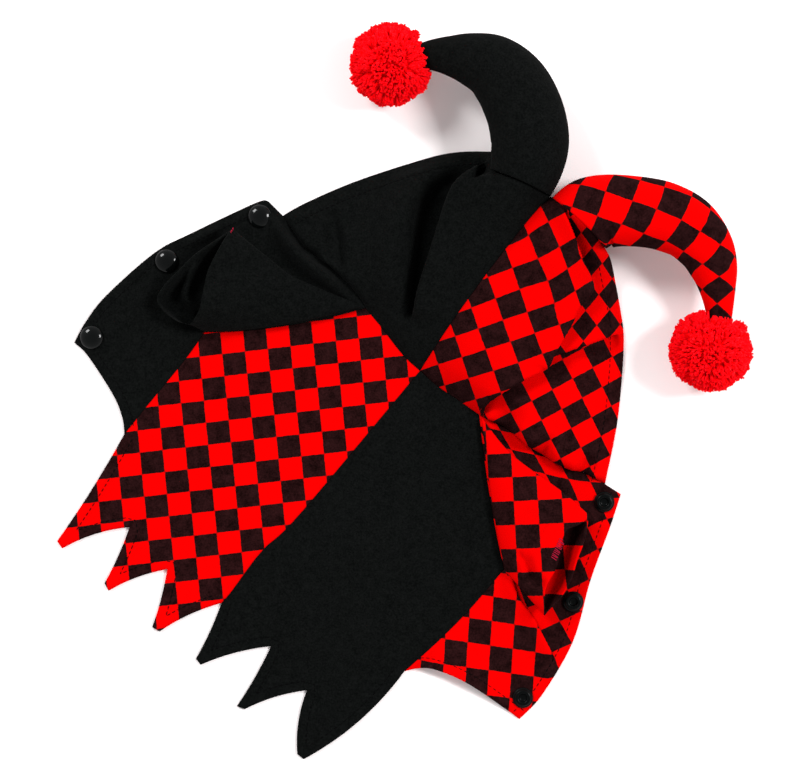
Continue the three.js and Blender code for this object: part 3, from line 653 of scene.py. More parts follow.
def closed_wall(name, outer, thick, distance, material, place=None):
    """A closed cloth wall below a grid of outer points, upright at its rim so that neighbours meet."""
    upright = np.exp(-(distance / UPRIGHT_REACH) ** 2)[..., None]
    normal = grid_normals(outer) * (1 - upright) + np.array([0, 0, 1]) * upright
    normal /= np.linalg.norm(normal, axis=-1, keepdims=True)
    half = rounded(distance, thick)[..., None]
    middle = outer - normal * (np.asarray(thick)[..., None] * 0.5)
    upper = middle + normal * half
    lower = middle - normal * half
    rows, columns = outer.shape[:2]
    points = np.vstack([upper.reshape(-1, 3), lower.reshape(-1, 3)])
    both = None if place is None else np.vstack([place.reshape(-1, 2)] * 2)
    obj = build(name, points, wall_faces(rows, columns), material, both)
    return tidy_mesh(obj), upper


# Materials
def new_material(name):
    material = bpy.data.materials.new(name)
    material.use_nodes = True
    tree = material.node_tree
    shader = tree.nodes["Principled BSDF"]
    return material, tree, shader


def link(tree, start, end):
    tree.links.new(start, end)


def maths(tree, operation, first, second=None):
    node = tree.nodes.new("ShaderNodeMath")
    node.operation = operation
    for slot, value in ((0, first), (1, second)):
        if value is None:
            continue
        if isinstance(value, (int, float)):
            node.inputs[slot].default_value = value
        else:
            link(tree, value, node.inputs[slot])
    return node.outputs[0]


def noise(tree, vector, scale, detail=3.0, roughness=0.55):
    node = tree.nodes.new("ShaderNodeTexNoise")
    node.inputs["Scale"].default_value = scale
    node.inputs["Detail"].default_value = detail
    node.inputs["Roughness"].default_value = roughness
    link(tree, vector, node.inputs["Vector"])
    return node


def ramp(tree, value, low, high, ends=(0.36, 0.66)):
    """A run from one colour to another between two values."""
    node = tree.nodes.new("ShaderNodeValToRGB")
    for element, place, colour in zip(node.color_ramp.elements, ends, (low, high)):
        element.position = place
        element.color = (*colour, 1)
    link(tree, value, node.inputs["Fac"])
    return node.outputs["Color"]


def bump(tree, shader, height, strength, distance):
    node = tree.nodes.new("ShaderNodeBump")
    node.inputs["Strength"].default_value = strength
    node.inputs["Distance"].default_value = distance
    link(tree, height, node.inputs["Height"])
    link(tree, node.outputs["Normal"], shader.inputs["Normal"])


def matte(shader, roughness, specular):
    shader.inputs["Roughness"].default_value = roughness
    shader.inputs["Specular IOR Level"].default_value = specular
    shader.inputs["Metallic"].default_value = 0.0


def plain(name, colour, roughness, specular):
    """A material of one colour."""
    material, tree, shader = new_material(name)
    shader.inputs["Base Color"].default_value = (*colour, 1)
    matte(shader, roughness, specular)
    return material


RED = (0.6, 0.0, 0.0)
DARK_A = (0.0046, 0.0012, 0.0012)
DARK_B = (0.0195, 0.0052, 0.0056)
BLACK_A = (0.0014, 0.0017, 0.0016)
BLACK_B = (0.0044, 0.0049, 0.0047)
YARN_A = (0.86, 0.0, 0.003)
YARN_B = (0.97, 0.004, 0.009)
PLASTIC = (0.0016, 0.002, 0.002)
PRINT_SHIFT = 0.025
PRINT_WANDER = (0.05, 0.05, 0.0)
PRINT_SHARPNESS = 45.0


def knit(tree, spot, broad_scale, fine_scale, broad_share):
    """Uneven grey of knitted cloth, from a broad and a fine noise."""
    broad = noise(tree, spot, broad_scale, 3.0).outputs["Fac"]
    fine = noise(tree, spot, fine_scale, 2.0, 0.6).outputs["Fac"]
    broad = maths(tree, "MULTIPLY", broad, broad_share)
    return maths(tree, "ADD", broad, maths(tree, "MULTIPLY", fine, 1 - broad_share))


def black_cloth():
    material, tree, shader = new_material("black_cloth")
    spot = tree.nodes.new("ShaderNodeTexCoord").outputs["Object"]
    mixed = knit(tree, spot, 300.0, 1000.0, 0.35)
    link(tree, ramp(tree, mixed, BLACK_A, BLACK_B), shader.inputs["Base Color"])
    matte(shader, 0.95, 0.015)
    shader.inputs["Sheen Weight"].default_value = 0.008
    shader.inputs["Sheen Roughness"].default_value = 0.5
    bump(tree, shader, mixed, 0.35, 0.0006)
    return material


def check_cloth():
    material, tree, shader = new_material("check_cloth")
    spot = tree.nodes.new("ShaderNodeTexCoord").outputs["Object"]
    uv = tree.nodes.new("ShaderNodeUVMap")
    uv.uv_map = "print"
    shift = tree.nodes.new("ShaderNodeVectorMath")
    shift.operation = "MULTIPLY_ADD"
    link(tree, noise(tree, spot, 420.0, 2.0).outputs["Color"], shift.inputs[0])
    shift.inputs[1].default_value = PRINT_WANDER
    link(tree, uv.outputs["UV"], shift.inputs[2])
    parts = tree.nodes.new("ShaderNodeSeparateXYZ")
    link(tree, shift.outputs[0], parts.inputs[0])
    swings = []
    for k in range(2):
        square = maths(tree, "SUBTRACT", parts.outputs[k], PRINT_SHIFT)
        swings.append(maths(tree, "SINE", maths(tree, "MULTIPLY", square, math.pi)))
    product = maths(tree, "MULTIPLY", *swings)
    clamp = tree.nodes.new("ShaderNodeClamp")
    sharp = maths(tree, "ADD", maths(tree, "MULTIPLY", product, PRINT_SHARPNESS), 0.5)
    link(tree, sharp, clamp.inputs["Value"])
    mixed = knit(tree, spot, 220.0, 1100.0, 0.5)
    blend = tree.nodes.new("ShaderNodeMix")
    blend.data_type = "RGBA"
    link(tree, clamp.outputs[0], blend.inputs["Factor"])
    link(tree, ramp(tree, mixed, DARK_A, DARK_B), blend.inputs["A"])
    blend.inputs["B"].default_value = (*RED, 1)
    link(tree, blend.outputs["Result"], shader.inputs["Base Color"])
    matte(shader, 0.92, 0.015)
    bump(tree, shader, mixed, 0.3, 0.0005)
    return material


def yarn_material():
    material, tree, shader = new_material("yarn")
    spot = tree.nodes.new("ShaderNodeTexCoord").outputs["Object"]
    broad = noise(tree, spot, 330.0, 2.0).outputs["Fac"]
    link(tree, ramp(tree, broad, YARN_A, YARN_B, (0.3, 0.7)), shader.inputs["Base Color"])
    matte(shader, 0.9, 0.03)
    shader.inputs["Subsurface Weight"].default_value = 0.6
    shader.inputs["Subsurface Radius"].default_value = (0.004, 0.0002, 0.0002)
    return material


CHECK, BLACK, YARN = check_cloth(), black_cloth(), yarn_material()
GLOSS, DULL = plain("snap_plastic", PLASTIC, 0.1, 0.17), plain("snap_plastic_dull", PLASTIC, 0.22, 0.06)
THREAD = plain("thread", (0.002, 0.0018, 0.002), 0.9, 0.02)
PAPER = plain("table", (0.94, 0.89, 0.89), 0.9, 0.1)
OVERLOCK = plain("overlock_thread", (0.3, 0.008, 0.03), 0.9, 0.03)


# Flat panels
def near_edges(plan, edges):
    """Distance to the nearest of some lines."""
    if not edges:
        return np.full(plan.shape[:-1], 1e3)
    return np.min([np.abs(nearest(plan, edge)[0]) for edge in edges], axis=0)


def waved(plan, wave, seed, gap):
    """Slow waves that reach full height away from an edge."""
    height, scale, reach = wave
    return height * (1 + waves(plan, seed, scale)) * ease(gap / reach)


def panel_surface(plan, free, seams, folds, seed):
    """Height of the cloth's top and its thickness at plan points."""
    hem, seam = near_edges(plan, free), near_edges(plan, seams)
    rim = np.minimum(hem, seam)
    lift = waved(plan, PANEL_WAVE, seed, rim)
    height, scale, reach = PANEL_RIPPLE
    lift += height * np.clip(waves(plan, seed + 1, scale), 0, 1) * ease(seam / reach)
    for kind, gap in (("held", rim), ("raised", seam)):
        lift += fold_height(plan, [row for row in folds if row["rim"] == kind]) * ease(gap / FOLD_MARGIN)
    lift = np.maximum(lift, 0)
    turned = 1 - ease((hem - HEM_WIDTH) / 0.9)
    stitch = np.exp(-((hem - STITCH_INSET) / 0.6) ** 2)
    pucker = 1 + PUCKER[0] * waves(plan, seed + 2, PUCKER[1])
    thick = CLOTH + HEM_RISE * turned - STITCH_DIP * stitch
    dip = SEAM_DIP * pucker * np.exp(-(seam / SEAM_WIDTH) ** 2)
    return lift + thick - dip, thick - dip * 0.6, rim


def flat_panel(name, edges, columns, rows, free, seams, folds, seed, material, cloth_print, lap_rows=()):
    """A closed cloth panel lying on the surface."""
    plan = patch(*edges, columns, rows)
    top, thick, rim = panel_surface(plan, free, seams, folds, seed)
    shown, lap_height = lapped(plan, lap_rows, rim)
    outer = np.dstack([shown, np.maximum(top + lap_height, thick)])
    place = None if cloth_print is None else print_place(shown, cloth_print, plan)
    return closed_wall(name, outer, np.maximum(thick, THINNEST), rim, material, place)


def share_of(line, point):
    """Share of a line's length at which it passes a point."""
    return float(nearest(np.array([[point]], float), line)[1][0, 0])


def back_panel(name, sides, left, armhole, neck, side_seam, seed, material, cloth_print):
    """Half of the back. The outermost side of its hem carries on its side seam."""
    outermost, hem_parts = (sides[0], sides[1:]) if left else (sides[-1][::-1], sides[:-1])
    side, centre = joined([trace(side_seam), outermost]), trace(CENTRE_BACK)
    top = trace(armhole[::-1], neck[::-1]) if left else trace(neck, armhole)
    edges = (top, joined(hem_parts), *((side, centre) if left else (centre, side)))
    columns = stations(hem_parts, PANEL_STEP, [share_of(top, armhole[0])])
    rows = stations([centre], PANEL_STEP, [share_of(side, side_seam[-1])])
    seams = [trace(armhole), trace(neck), trace(side_seam), centre]
    return flat_panel(name, edges, columns, rows, [joined(sides)], seams, [], seed, material, cloth_print)


def belly_panel(name, neck_seam, neck_corner, armhole, side, front, leg, folds, seed, material,
                cloth_print=None, lap_rows=()):
    """A belly flap, from the armhole and side seams out to its free front and leg edges."""
    collar = [neck_seam[-1], neck_corner]
    edges = (trace(neck_seam, collar), trace(leg), trace(armhole, side), trace(front))
    free = [trace(front), trace(leg), trace(collar)]
    seams = [trace(armhole), trace(side), trace(neck_seam)]
    columns = stations([trace(neck_seam), trace(collar)], PANEL_STEP)
    rows = stations([trace(armhole), trace(side)], PANEL_STEP)
    return flat_panel(name, edges, columns, rows, free, seams, folds, seed, material, cloth_print, lap_rows)


hem_left, hem_right = hem_sides(SIDE_HEM_LEFT, HEM_LEFT), hem_sides(CENTRE_HEM, HEM_RIGHT)
back_left, back_left_top = back_panel(
    "cloth_back_left", hem_left, True, ARMHOLE_LEFT, NECK_BACK_LEFT, SIDE_LEFT, 11, CHECK, BACK_PRINT)
back_right, back_right_top = back_panel(
    "cloth_back_right", hem_right, False, ARMHOLE_RIGHT, NECK_BACK_RIGHT, SIDE_RIGHT, 21, BLACK, None)
belly_left, belly_left_top = belly_panel(
    "cloth_belly_left", NECK_FLAP_LEFT, NECK_FRONT_LEFT, ARMHOLE_LEFT, SIDE_LEFT, FRONT_LEFT, LEG_LEFT,
    FLAP_FOLDS_LEFT, 31, BLACK)
belly_right, belly_right_top = belly_panel(
    "cloth_belly_right", NECK_FLAP_RIGHT, COLLAR_RIGHT, ARMHOLE_RIGHT, SIDE_RIGHT, FRONT_RIGHT, LEG_RIGHT,
    FLAP_FOLDS_RIGHT, 41, CHECK, FLAP_PRINT, LAPS_FLAP_RIGHT)


# Hood
def section_value(sections, column, along):
    """One column of the sections at places along them, smooth between the rows."""
    places = np.array([row["along"] for row in sections], float)
    values = np.array([row[column] for row in sections], float)
    slopes = np.empty(len(values))
    slopes[1:-1] = (values[2:] - values[:-2]) / (places[2:] - places[:-2])
    slopes[0] = (values[1] - values[0]) / (places[1] - places[0])
    slopes[-1] = (values[-1] - values[-2]) / (places[-1] - places[-2])
    k = np.clip(np.searchsorted(places, along, side="right") - 1, 0, len(places) - 2)
    span = places[k + 1] - places[k]
    t = np.clip((along - places[k]) / span, 0, 1)
    return (
        values[k] * (2 * t ** 3 - 3 * t ** 2 + 1) + slopes[k] * span * (t ** 3 - 2 * t ** 2 + t)
        + values[k + 1] * (3 * t ** 2 - 2 * t ** 3) + slopes[k + 1] * span * (t ** 3 - t ** 2)
    )


HOOD_ROUND = 0.9


def hood_height(sections, across, along):
    """Height of the dome above the flat cloth."""
    centre, half, end = (section_value(sections, column, along) for column in ("centre", "half", "edge"))
    middle = half - (centre + end) / 2
    return centre * (1 - across) + end * across + middle * np.sin(np.pi * across) ** HOOD_ROUND


def hood_half(
        name, neck, face, horn_seam, sections, folds, lap_rows, bulges, seed, material, cloth_print=None):
    """Half of the hood, from the neck seam to the horn's seam and from the centre seam to the face edge."""
    neck_line, centre = trace(*neck), trace(HOOD_CENTRE_SEAM)
    horn_line, face_line = trace(horn_seam), trace(face)
    columns, rows = stations([neck_line], HOOD_STEP), stations([centre], HOOD_STEP)
    plan = patch(neck_line, horn_line, centre, face_line, columns, rows)
    face_gap, seam_gap = near_edges(plan, [face_line]), near_edges(plan, [neck_line, horn_line, centre])
    rim = np.minimum(face_gap, seam_gap)
    u, v = np.meshgrid(columns, rows)
    base = hood_height(sections, np.clip(u, 0, 1), v)
    height, scale, reach = HOOD_WAVE
    base += height * waves(plan, seed, scale) * ease(rim / reach)
    turned = 1 - ease((face_gap - FACE_STITCH_INSET - 0.6) / 1.0)
    stitch = np.exp(-((face_gap - FACE_STITCH_INSET) / 0.7) ** 2)
    pucker = 1 + HOOD_PUCKER[0] * waves(plan, seed + 2, HOOD_PUCKER[1])
    thick = HOOD_CLOTH + HEM_RISE * turned - FACE_STITCH_DIP * stitch
    dip = HOOD_SEAM_DIP * pucker * np.exp(-(seam_gap / HOOD_SEAM_WIDTH) ** 2)
    shown, lap_height = lapped(plan, lap_rows, rim)
    raised = fold_height(plan, folds) * ease(rim / HOOD_FOLD_MARGIN)
    height = thick + np.maximum(base + raised + lap_height, 0) - dip
    seam = trace(neck[1])
    middle = shown[len(shown) // 2, shown.shape[1] // 2]
    inward = np.sign(nearest(middle[None, None], seam)[0][0, 0])
    shown, bulge_height = bulged(shown, seam, bulges, inward)
    outer = np.dstack([shown, height + bulge_height])
    place = None if cloth_print is None else print_place(shown, cloth_print, plan)
    return closed_wall(name, outer, np.maximum(thick - dip * 0.5, HOOD_THINNEST), rim, material, place)


hood_left, hood_left_top = hood_half(
    "cloth_hood_left", (NECK_BACK_LEFT, NECK_FLAP_LEFT), HOOD_FACE_LEFT, HORN_SEAM_LEFT,
    HOOD_SECTIONS_LEFT, HOOD_FOLDS_LEFT, LAPS_HOOD_LEFT, NECK_BULGES_LEFT, 51, BLACK)
hood_right, hood_right_top = hood_half(
    "cloth_hood_right", (NECK_BACK_RIGHT, NECK_FLAP_RIGHT), HOOD_FACE_RIGHT, [CROWN, HORN_FACE_RIGHT],
    HOOD_SECTIONS_RIGHT, HOOD_FOLDS_RIGHT, LAPS_HOOD_RIGHT, NECK_BULGES, 61, CHECK, HOOD_PRINT)


# Sleeves
SLEEVE_SIDES = 112
SLEEVE_STEPS = np.concatenate([[0, 0.006, 0.015], np.linspace(0.03, 0.965, 54), [0.98, 0.992, 1.0]])
SLEEVE_LENGTH = 60
SLEEVE_ROUND = 0.52
SLEEVE_GROWTH = 0.8
SLEEVE_HEM = 6.0
SLEEVE_HEM_RISE = 0.5
SLEEVE_INSET = 1.9
SLEEVE_RIM = 0.8
SLEEVE_RIPPLE = 0.5
SLEEVE_FLOOR = 2.4
SEAM_SHARE = 0.02
LIP_ROUND = 0.4


def sleeve_layer(shape, s, turn, inset):
    """Points of the tube at shares of its length and turns round it, inside its outer face by the inset."""
    armhole, upper, lower = (trace(shape[key]) for key in ("armhole", "upper", "lower"))
    depth = shape["seam_depth"] + (shape["cuff_depth"] - shape["seam_depth"]) * s ** SLEEVE_GROWTH
    rise = np.sin(turn)
    margin = inset / (lengths(armhole)[-1] * (1 - s) + lengths(upper)[-1] * s)
    u = margin + (1 - 2 * margin) * ((1 - np.cos(turn)) / 2)
    swell = np.sign(rise) * np.abs(rise) ** SLEEVE_ROUND
    lift = (0.5 + 0.5 * swell)[..., None]
    cuff = at(lower, u) * (1 - lift) + at(upper, u) * lift
    start = np.zeros_like(s)
    corner = at(armhole, start) * (1 - s[..., None]) + at(upper, start) * s[..., None]
    bend = (at(trace(shape["fold"]), s) - corner) * ((1 - u) ** 2)[..., None]
    share = (SEAM_SHARE + (1 - SEAM_SHARE) * s)[..., None]
    plan = at(armhole, u) * (1 - share) + cuff * share + bend
    z = SLEEVE_FLOOR + depth / 2 + (depth / 2 - inset) * swell
    below = ease(-swell + 0.5) * np.sin(np.pi * np.clip(u, 0.02, 0.98)) ** LIP_ROUND
    z += shape["lip"] * ease((s - LIP_START) / (1 - LIP_START)) * below
    z += fold_height(plan, shape["folds"]) * ease(swell * 2) * ease(s * 8)
    z += fold_height(plan, shape["inner_folds"]) * below * ease((1 - s) * 12)
    return np.dstack([plan, z])


def sleeve(name, shape, material, cloth_print, seed):
    """A flattened tube of cloth from the armhole to the cuff."""
    turns = (np.arange(SLEEVE_SIDES) + 0.5) / SLEEVE_SIDES * math.tau
    s, turn = np.meshgrid(SLEEVE_STEPS, turns, indexing="ij")
    outer, deep = sleeve_layer(shape, s, turn, 0.0), sleeve_layer(shape, s, turn, SLEEVE_INSET)
    wall = CLOTH + SLEEVE_HEM_RISE * (1 - ease(((1 - s) * SLEEVE_LENGTH - SLEEVE_HEM) / 1.2))
    share = (wall / SLEEVE_INSET)[..., None]
    inner = outer * (1 - share) + deep * share
    gap = np.minimum(s, 1 - s)
    ends = np.sqrt(np.clip(1 - (1 - np.clip(gap * SLEEVE_LENGTH / SLEEVE_RIM, 0, 1)) ** 2, 0.0, 1))[..., None]
    middle = (outer + inner) / 2
    outer = middle + (outer - middle) * ends
    inner = middle + (inner - middle) * ends
    ripple = waves(outer[..., :2], seed, 30)[..., None] * SLEEVE_RIPPLE * ease(gap * 6)[..., None]
    outer[..., 2:] += ripple
    inner[..., 2:] += ripple
    outer_ids = np.arange(s.size).reshape(s.shape)
    inner_ids = outer_ids + s.size
    inner_ids[0], inner_ids[-1] = outer_ids[0], outer_ids[-1]
    faces = np.vstack([ring_quads(outer_ids), ring_quads(inner_ids)[:, ::-1]])
    points = np.vstack([outer.reshape(-1, 3), inner.reshape(-1, 3)])
    place = None if cloth_print is None else print_place(points[:, :2], cloth_print)
    return tidy_mesh(build(name, points, faces, material, place)), outer


def ring_quads(ids):
    """Quads between the rings of a tube, from its points' numbers."""
    after = np.roll(ids, -1, axis=1)
    return np.stack([ids[:-1], after[:-1], after[1:], ids[1:]], axis=-1).reshape(-1, 4)


sleeve_left, sleeve_left_grid = sleeve("cloth_sleeve_left", SLEEVE_LEFT, BLACK, None, 71)
sleeve_right, sleeve_right_grid = sleeve("cloth_sleeve_right", SLEEVE_RIGHT, CHECK, SLEEVE_PRINT, 81)


# Horns
HORN_RINGS = 110
HORN_SIDES = 64
HORN_RIPPLE = 0.25
GROOVE = 0.55
GROOVE_WIDTH = 0.09
SIDE_START = 0.68
SIDE_STRETCH = 2.0


def horn(name, rows, seam_from, seam_to, material, cloth_print, seed):
    """A stuffed horn round its spine, with a groove along the seam on each side."""
    sections = np.array([[row["x"], row["y"], row["z"], row["half"]] for row in rows], float)
    held = np.vstack([2 * sections[0] - sections[1], sections, 2 * sections[-1] - sections[-2]])
    t = np.linspace(0, 1, HORN_RINGS)
    place = np.clip(t * (len(sections) - 1), 0, len(sections) - 1 - 1e-9)
    k = place.astype(int)
    spine = spline(held[k], held[k + 1], held[k + 2], held[k + 3], (place - k)[:, None])
    run = np.gradient(spine[:, :2], axis=0)
    across = np.stack([run[:, 1], -run[:, 0]], axis=-1)
    across /= np.linalg.norm(across, axis=-1, keepdims=True)
    seam = np.array(seam_to, float) - np.array(seam_from, float)
    seam /= np.linalg.norm(seam)
    keep = np.clip(1 - 5 * t, 0, 1)[:, None]
    across = across * (1 - keep) + seam * keep
    across /= np.linalg.norm(across, axis=-1, keepdims=True)
    half = spine[:, 3]
    turn = np.arange(HORN_SIDES) / HORN_SIDES * math.tau
    grain = np.stack(np.meshgrid(turn * 9, t * 160, indexing="xy"), axis=-1)
    deep = GROOVE * np.clip(half / 20, 0.3, 1)
    groove = np.exp(-(np.sin(turn) / GROOVE_WIDTH) ** 2)[None, :] * deep[:, None]
    size = half[:, None] + waves(grain, seed, 40) * HORN_RIPPLE - groove
    side = np.cos(turn)[None] * size
    up = np.sin(turn)[None] * size * HORN_DEPTH
    points = np.dstack([spine[:, None, :2] + across[:, None] * side[..., None], spine[:, None, 2] + up])
    ids = np.arange(HORN_RINGS * HORN_SIDES).reshape(HORN_RINGS, HORN_SIDES)
    faces = ring_quads(ids).tolist() + [ids[0].tolist(), ids[-1, ::-1].tolist()]
    spot = None
    if cloth_print is not None:
        out = np.cos(turn)
        out = out + np.sign(out) * SIDE_STRETCH * np.maximum(np.abs(out) - SIDE_START, 0) ** 2
        flat = half[:, None] * out[None]
        spot = print_place(spine[:, None, :2] + across[:, None] * flat[..., None], cloth_print).reshape(-1, 2)
    return tidy_mesh(build(name, points.reshape(-1, 3), faces, material, spot))


horn_left = horn("cloth_horn_left", HORN_LEFT, HORN_FACE_LEFT, CROWN, BLACK, None, 91)
horn_right = horn("cloth_horn_right", HORN_RIGHT, CROWN, HORN_FACE_RIGHT, CHECK, HORN_PRINT, 95)


# Pompoms: strands from a core, drawn together into tufts
STRANDS = 4200
STRAND_RINGS = 4
STRAND_SIDES = 4
STRAND_TWIST = 1.5
STRAND_CURL = (0.2, 1.5)
STRAND_THICK = (0.56, 0.86)
STRAND_TAPER = 0.3
STRAND_FLOOR = 0.3
CORE_RADIUS = 16.9
CORE_RINGS = 24
CORE_SIDES = 40
ROOT_DEPTH = 1.5
TUFTS = 140
TUFT_PULL = 0.27
TUFT_REACH = (-0.9, 0.4)
TIP_OPENING = 0.86


def unit(vectors):
    return vectors / np.linalg.norm(vectors, axis=-1, keepdims=True)


def revolved(profile, centre, floor, sides, first=0):
    """Points and faces, numbered on from first, of a shape turned round an upright axis.

    The faces look outwards if the profile runs upwards.
    """
    points, rings, faces = [], [], []
    for radius, height in profile:
        count = sides if radius else 1
        rings.append([first + len(points) + k for k in range(count)])
        for k in range(count):
            angle = k / sides * math.tau
            x, y = centre[0] + radius * math.cos(angle), centre[1] + radius * math.sin(angle)
            points.append((x, y, floor + height))
    for low, high in zip(rings, rings[1:]):
        for k in range(sides):
            after = (k + 1) % sides
            if len(low) == 1:
                faces.append((low[0], high[after], high[k]))
            elif len(high) == 1:
                faces.append((low[k], low[after], high[0]))
            else:
                faces.append((low[k], low[after], high[after], high[k]))
    return points, faces


def pompom(name, centre, tip, seed):
    """A ball of yarn with an opening towards the horn's tip."""
    rng = np.random.default_rng(seed)
    middle = np.array([centre[0], centre[1], POMPOM_HEIGHT])
    towards = unit(np.array([tip["x"], tip["y"], tip["z"]], float) - middle)
    k = np.arange(STRANDS)
    height = 1 - 2 * (k + 0.5) / STRANDS
    around = k * math.pi * (3 - math.sqrt(5))
    flat = np.sqrt(1 - height ** 2)
    aim = np.stack([flat * np.cos(around), flat * np.sin(around), height], axis=-1)
    aim = unit(aim + rng.normal(0, 0.05, aim.shape))
    tufts = unit(rng.normal(0, 1, (TUFTS, 3)))
    aim = aim[aim @ towards < TIP_OPENING]
    count = len(aim)
    closest = np.argmax(aim @ tufts.T, axis=1)
    bundle = rng.uniform(*TUFT_REACH, TUFTS)[closest]
    reach = POMPOM_RADIUS + 0.2 + bundle + rng.normal(0, 0.4, count)
    sideways = rng.normal(0, 1, (count, 3))
    sideways = unit(sideways - aim * np.einsum("ij,ij->i", sideways, aim)[:, None])
    curl = rng.uniform(*STRAND_CURL, count)
    thick = rng.uniform(*STRAND_THICK, count)
    other = np.cross(aim, sideways)
    start = CORE_RADIUS - ROOT_DEPTH
    rings = []
    for s in np.linspace(0, 1, STRAND_RINGS):
        distance = start + (reach - start) * s
        spine = middle + aim * distance[:, None] + sideways * (curl * s ** 2)[:, None]
        spine += (tufts[closest] - aim) * (TUFT_PULL * s * distance)[:, None]
        radius = thick * (1 - STRAND_TAPER * s ** 3)
        for side in range(STRAND_SIDES):
            turn = side / STRAND_SIDES * math.tau + s * STRAND_TWIST
            wide, deep = (radius * math.cos(turn))[:, None], (radius * math.sin(turn))[:, None]
            rings.append(spine + sideways * wide + other * deep)
    points = np.stack(rings, axis=1)
    points[..., 2] = np.maximum(points[..., 2], STRAND_FLOOR)
    base = np.arange(count)[:, None] * STRAND_RINGS * STRAND_SIDES
    faces = []
    for ring in range(STRAND_RINGS - 1):
        for side in range(STRAND_SIDES):
            after = (side + 1) % STRAND_SIDES
            low, high = base + ring * STRAND_SIDES, base + (ring + 1) * STRAND_SIDES
            faces.append(np.hstack([low + side, low + after, high + after, high + side]))
    top = base + (STRAND_RINGS - 1) * STRAND_SIDES
    faces.append(top + np.arange(STRAND_SIDES))
    faces.append(base + np.arange(STRAND_SIDES)[::-1])
    turns = np.arange(1, CORE_RINGS) / CORE_RINGS * math.pi
    arc = zip(CORE_RADIUS * np.sin(turns), -CORE_RADIUS * np.cos(turns))
    profile = [(0, -CORE_RADIUS), *arc, (0, CORE_RADIUS)]
    core, core_faces = revolved(profile, centre, POMPOM_HEIGHT, CORE_SIDES, points.size // 3)
    return build(name, np.vstack([points.reshape(-1, 3), core]), np.vstack(faces).tolist() + core_faces, YARN)


pompom_left = pompom("yarn_pompom_left", POMPOM_LEFT, HORN_LEFT[-1], 101)
pompom_right = pompom("yarn_pompom_right", POMPOM_RIGHT, HORN_RIGHT[-1], 102)


# Snap fasteners: radius and height round each profile
CAP_PROFILE = [
    (0.0, 2.5), (1.6, 2.44), (3.2, 2.2), (4.6, 1.75), (5.4, 1.3), (5.95, 0.8), (6.2, 0.35), (6.2, 0.0),
    (5.8, -0.15), (0.0, -0.15),
]
SOCKET_PROFILE = [
    (0.0, 0.75), (1.5, 0.75), (1.9, 0.9), (2.1, 1.5), (2.3, 2.0), (2.7, 2.2), (3.6, 2.2), (4.1, 2.0),
    (4.35, 1.4), (4.7, 1.05), (5.1, 0.9), (5.4, 0.6), (5.4, 0.0), (5.1, -0.15), (0.0, -0.15),
]
SNAP_SIDES = 48
SNAP_FLOOR = 2.3


def turned(name, profile, centre, material):
    """A snap part turned round an upright axis."""
    return tidy_mesh(build(name, *revolved(profile, centre, SNAP_FLOOR, SNAP_SIDES), material))


caps = [turned(f"snap_cap_face_{k + 1}", CAP_PROFILE, c, GLOSS) for k, c in enumerate(CAP_CENTRES)]
sockets = [turned(f"snap_socket_ring_{k + 1}", SOCKET_PROFILE, c, DULL) for k, c in enumerate(SOCKET_CENTRES)]


# Stitches
def surface_height(grid, points):
    """Height of a grid of surface points above plan points, from the nearest of them."""
    flat = grid.reshape(-1, 3)
    heights = []
    for point in points:
        gaps = np.sum((flat[:, :2] - point[:2]) ** 2, axis=1)
        close = np.argpartition(gaps, 4)[:4]
        weight = 1 / (gaps[close] + 0.01)
        heights.append(np.sum(flat[close, 2] * weight) / np.sum(weight))
    return np.array(heights)


def inset_line(edge, inset, inward):
    """A line at an even distance inside an edge."""
    run = np.gradient(edge, axis=0)
    across = np.stack([-run[:, 1], run[:, 0]], axis=-1)
    across /= np.linalg.norm(across, axis=-1, keepdims=True) + 1e-9
    moved = edge + across * inset * inward
    gap = np.abs(nearest(moved[None], edge)[0])[0]
    return moved[gap > inset * 0.96]


THREAD_SIDES = ((-1, 0), (0, 1), (1, 0), (0, -1))


def thread_faces(start, count):
    """Faces of a closed four-sided thread through a number of stations."""
    faces = []
    for m in range(count - 1):
        for side in range(4):
            a, b = start + m * 4 + side, start + m * 4 + (side + 1) % 4
            faces.append((a, b, b + 4, a + 4))
    last = start + (count - 1) * 4
    return faces + [tuple(start + n for n in (3, 2, 1, 0)), tuple(last + n for n in range(4))]


def stitches(name, lines, grid, pitch=3.0, long=2.5, thick=0.22):
    """Short raised threads along lines on a surface."""
    points, faces = [], []
    for line in lines:
        total = lengths(line)[-1]
        for k in range(int(total / pitch)):
            shares = (np.linspace(0, long, 4) + k * pitch) / total
            if shares[-1] > 1:
                break
            spine = at(line, shares)
            z = surface_height(grid, spine)
            run = spine[-1] - spine[0]
            run /= np.linalg.norm(run) + 1e-9
            across = np.array([-run[1], run[0]])
            faces += thread_faces(len(points), 4)
            for m, (lift, wide) in enumerate(zip((-0.18, 0.14, 0.14, -0.18), (0.5, 1, 1, 0.5))):
                for side, up in THREAD_SIDES:
                    place = spine[m] + across * side * thick * wide
                    points.append((*place, z[m] + lift + up * thick * wide))
    return tidy_mesh(build(name, points, faces, THREAD))


def top_height(grid, point):
    """Height of the highest cloth close to a plan point."""
    flat = grid.reshape(-1, 3)
    gaps = np.sum((flat[:, :2] - point) ** 2, axis=1)
    return flat[gaps < max(2.2, gaps.min() * 1.5), 2].max()


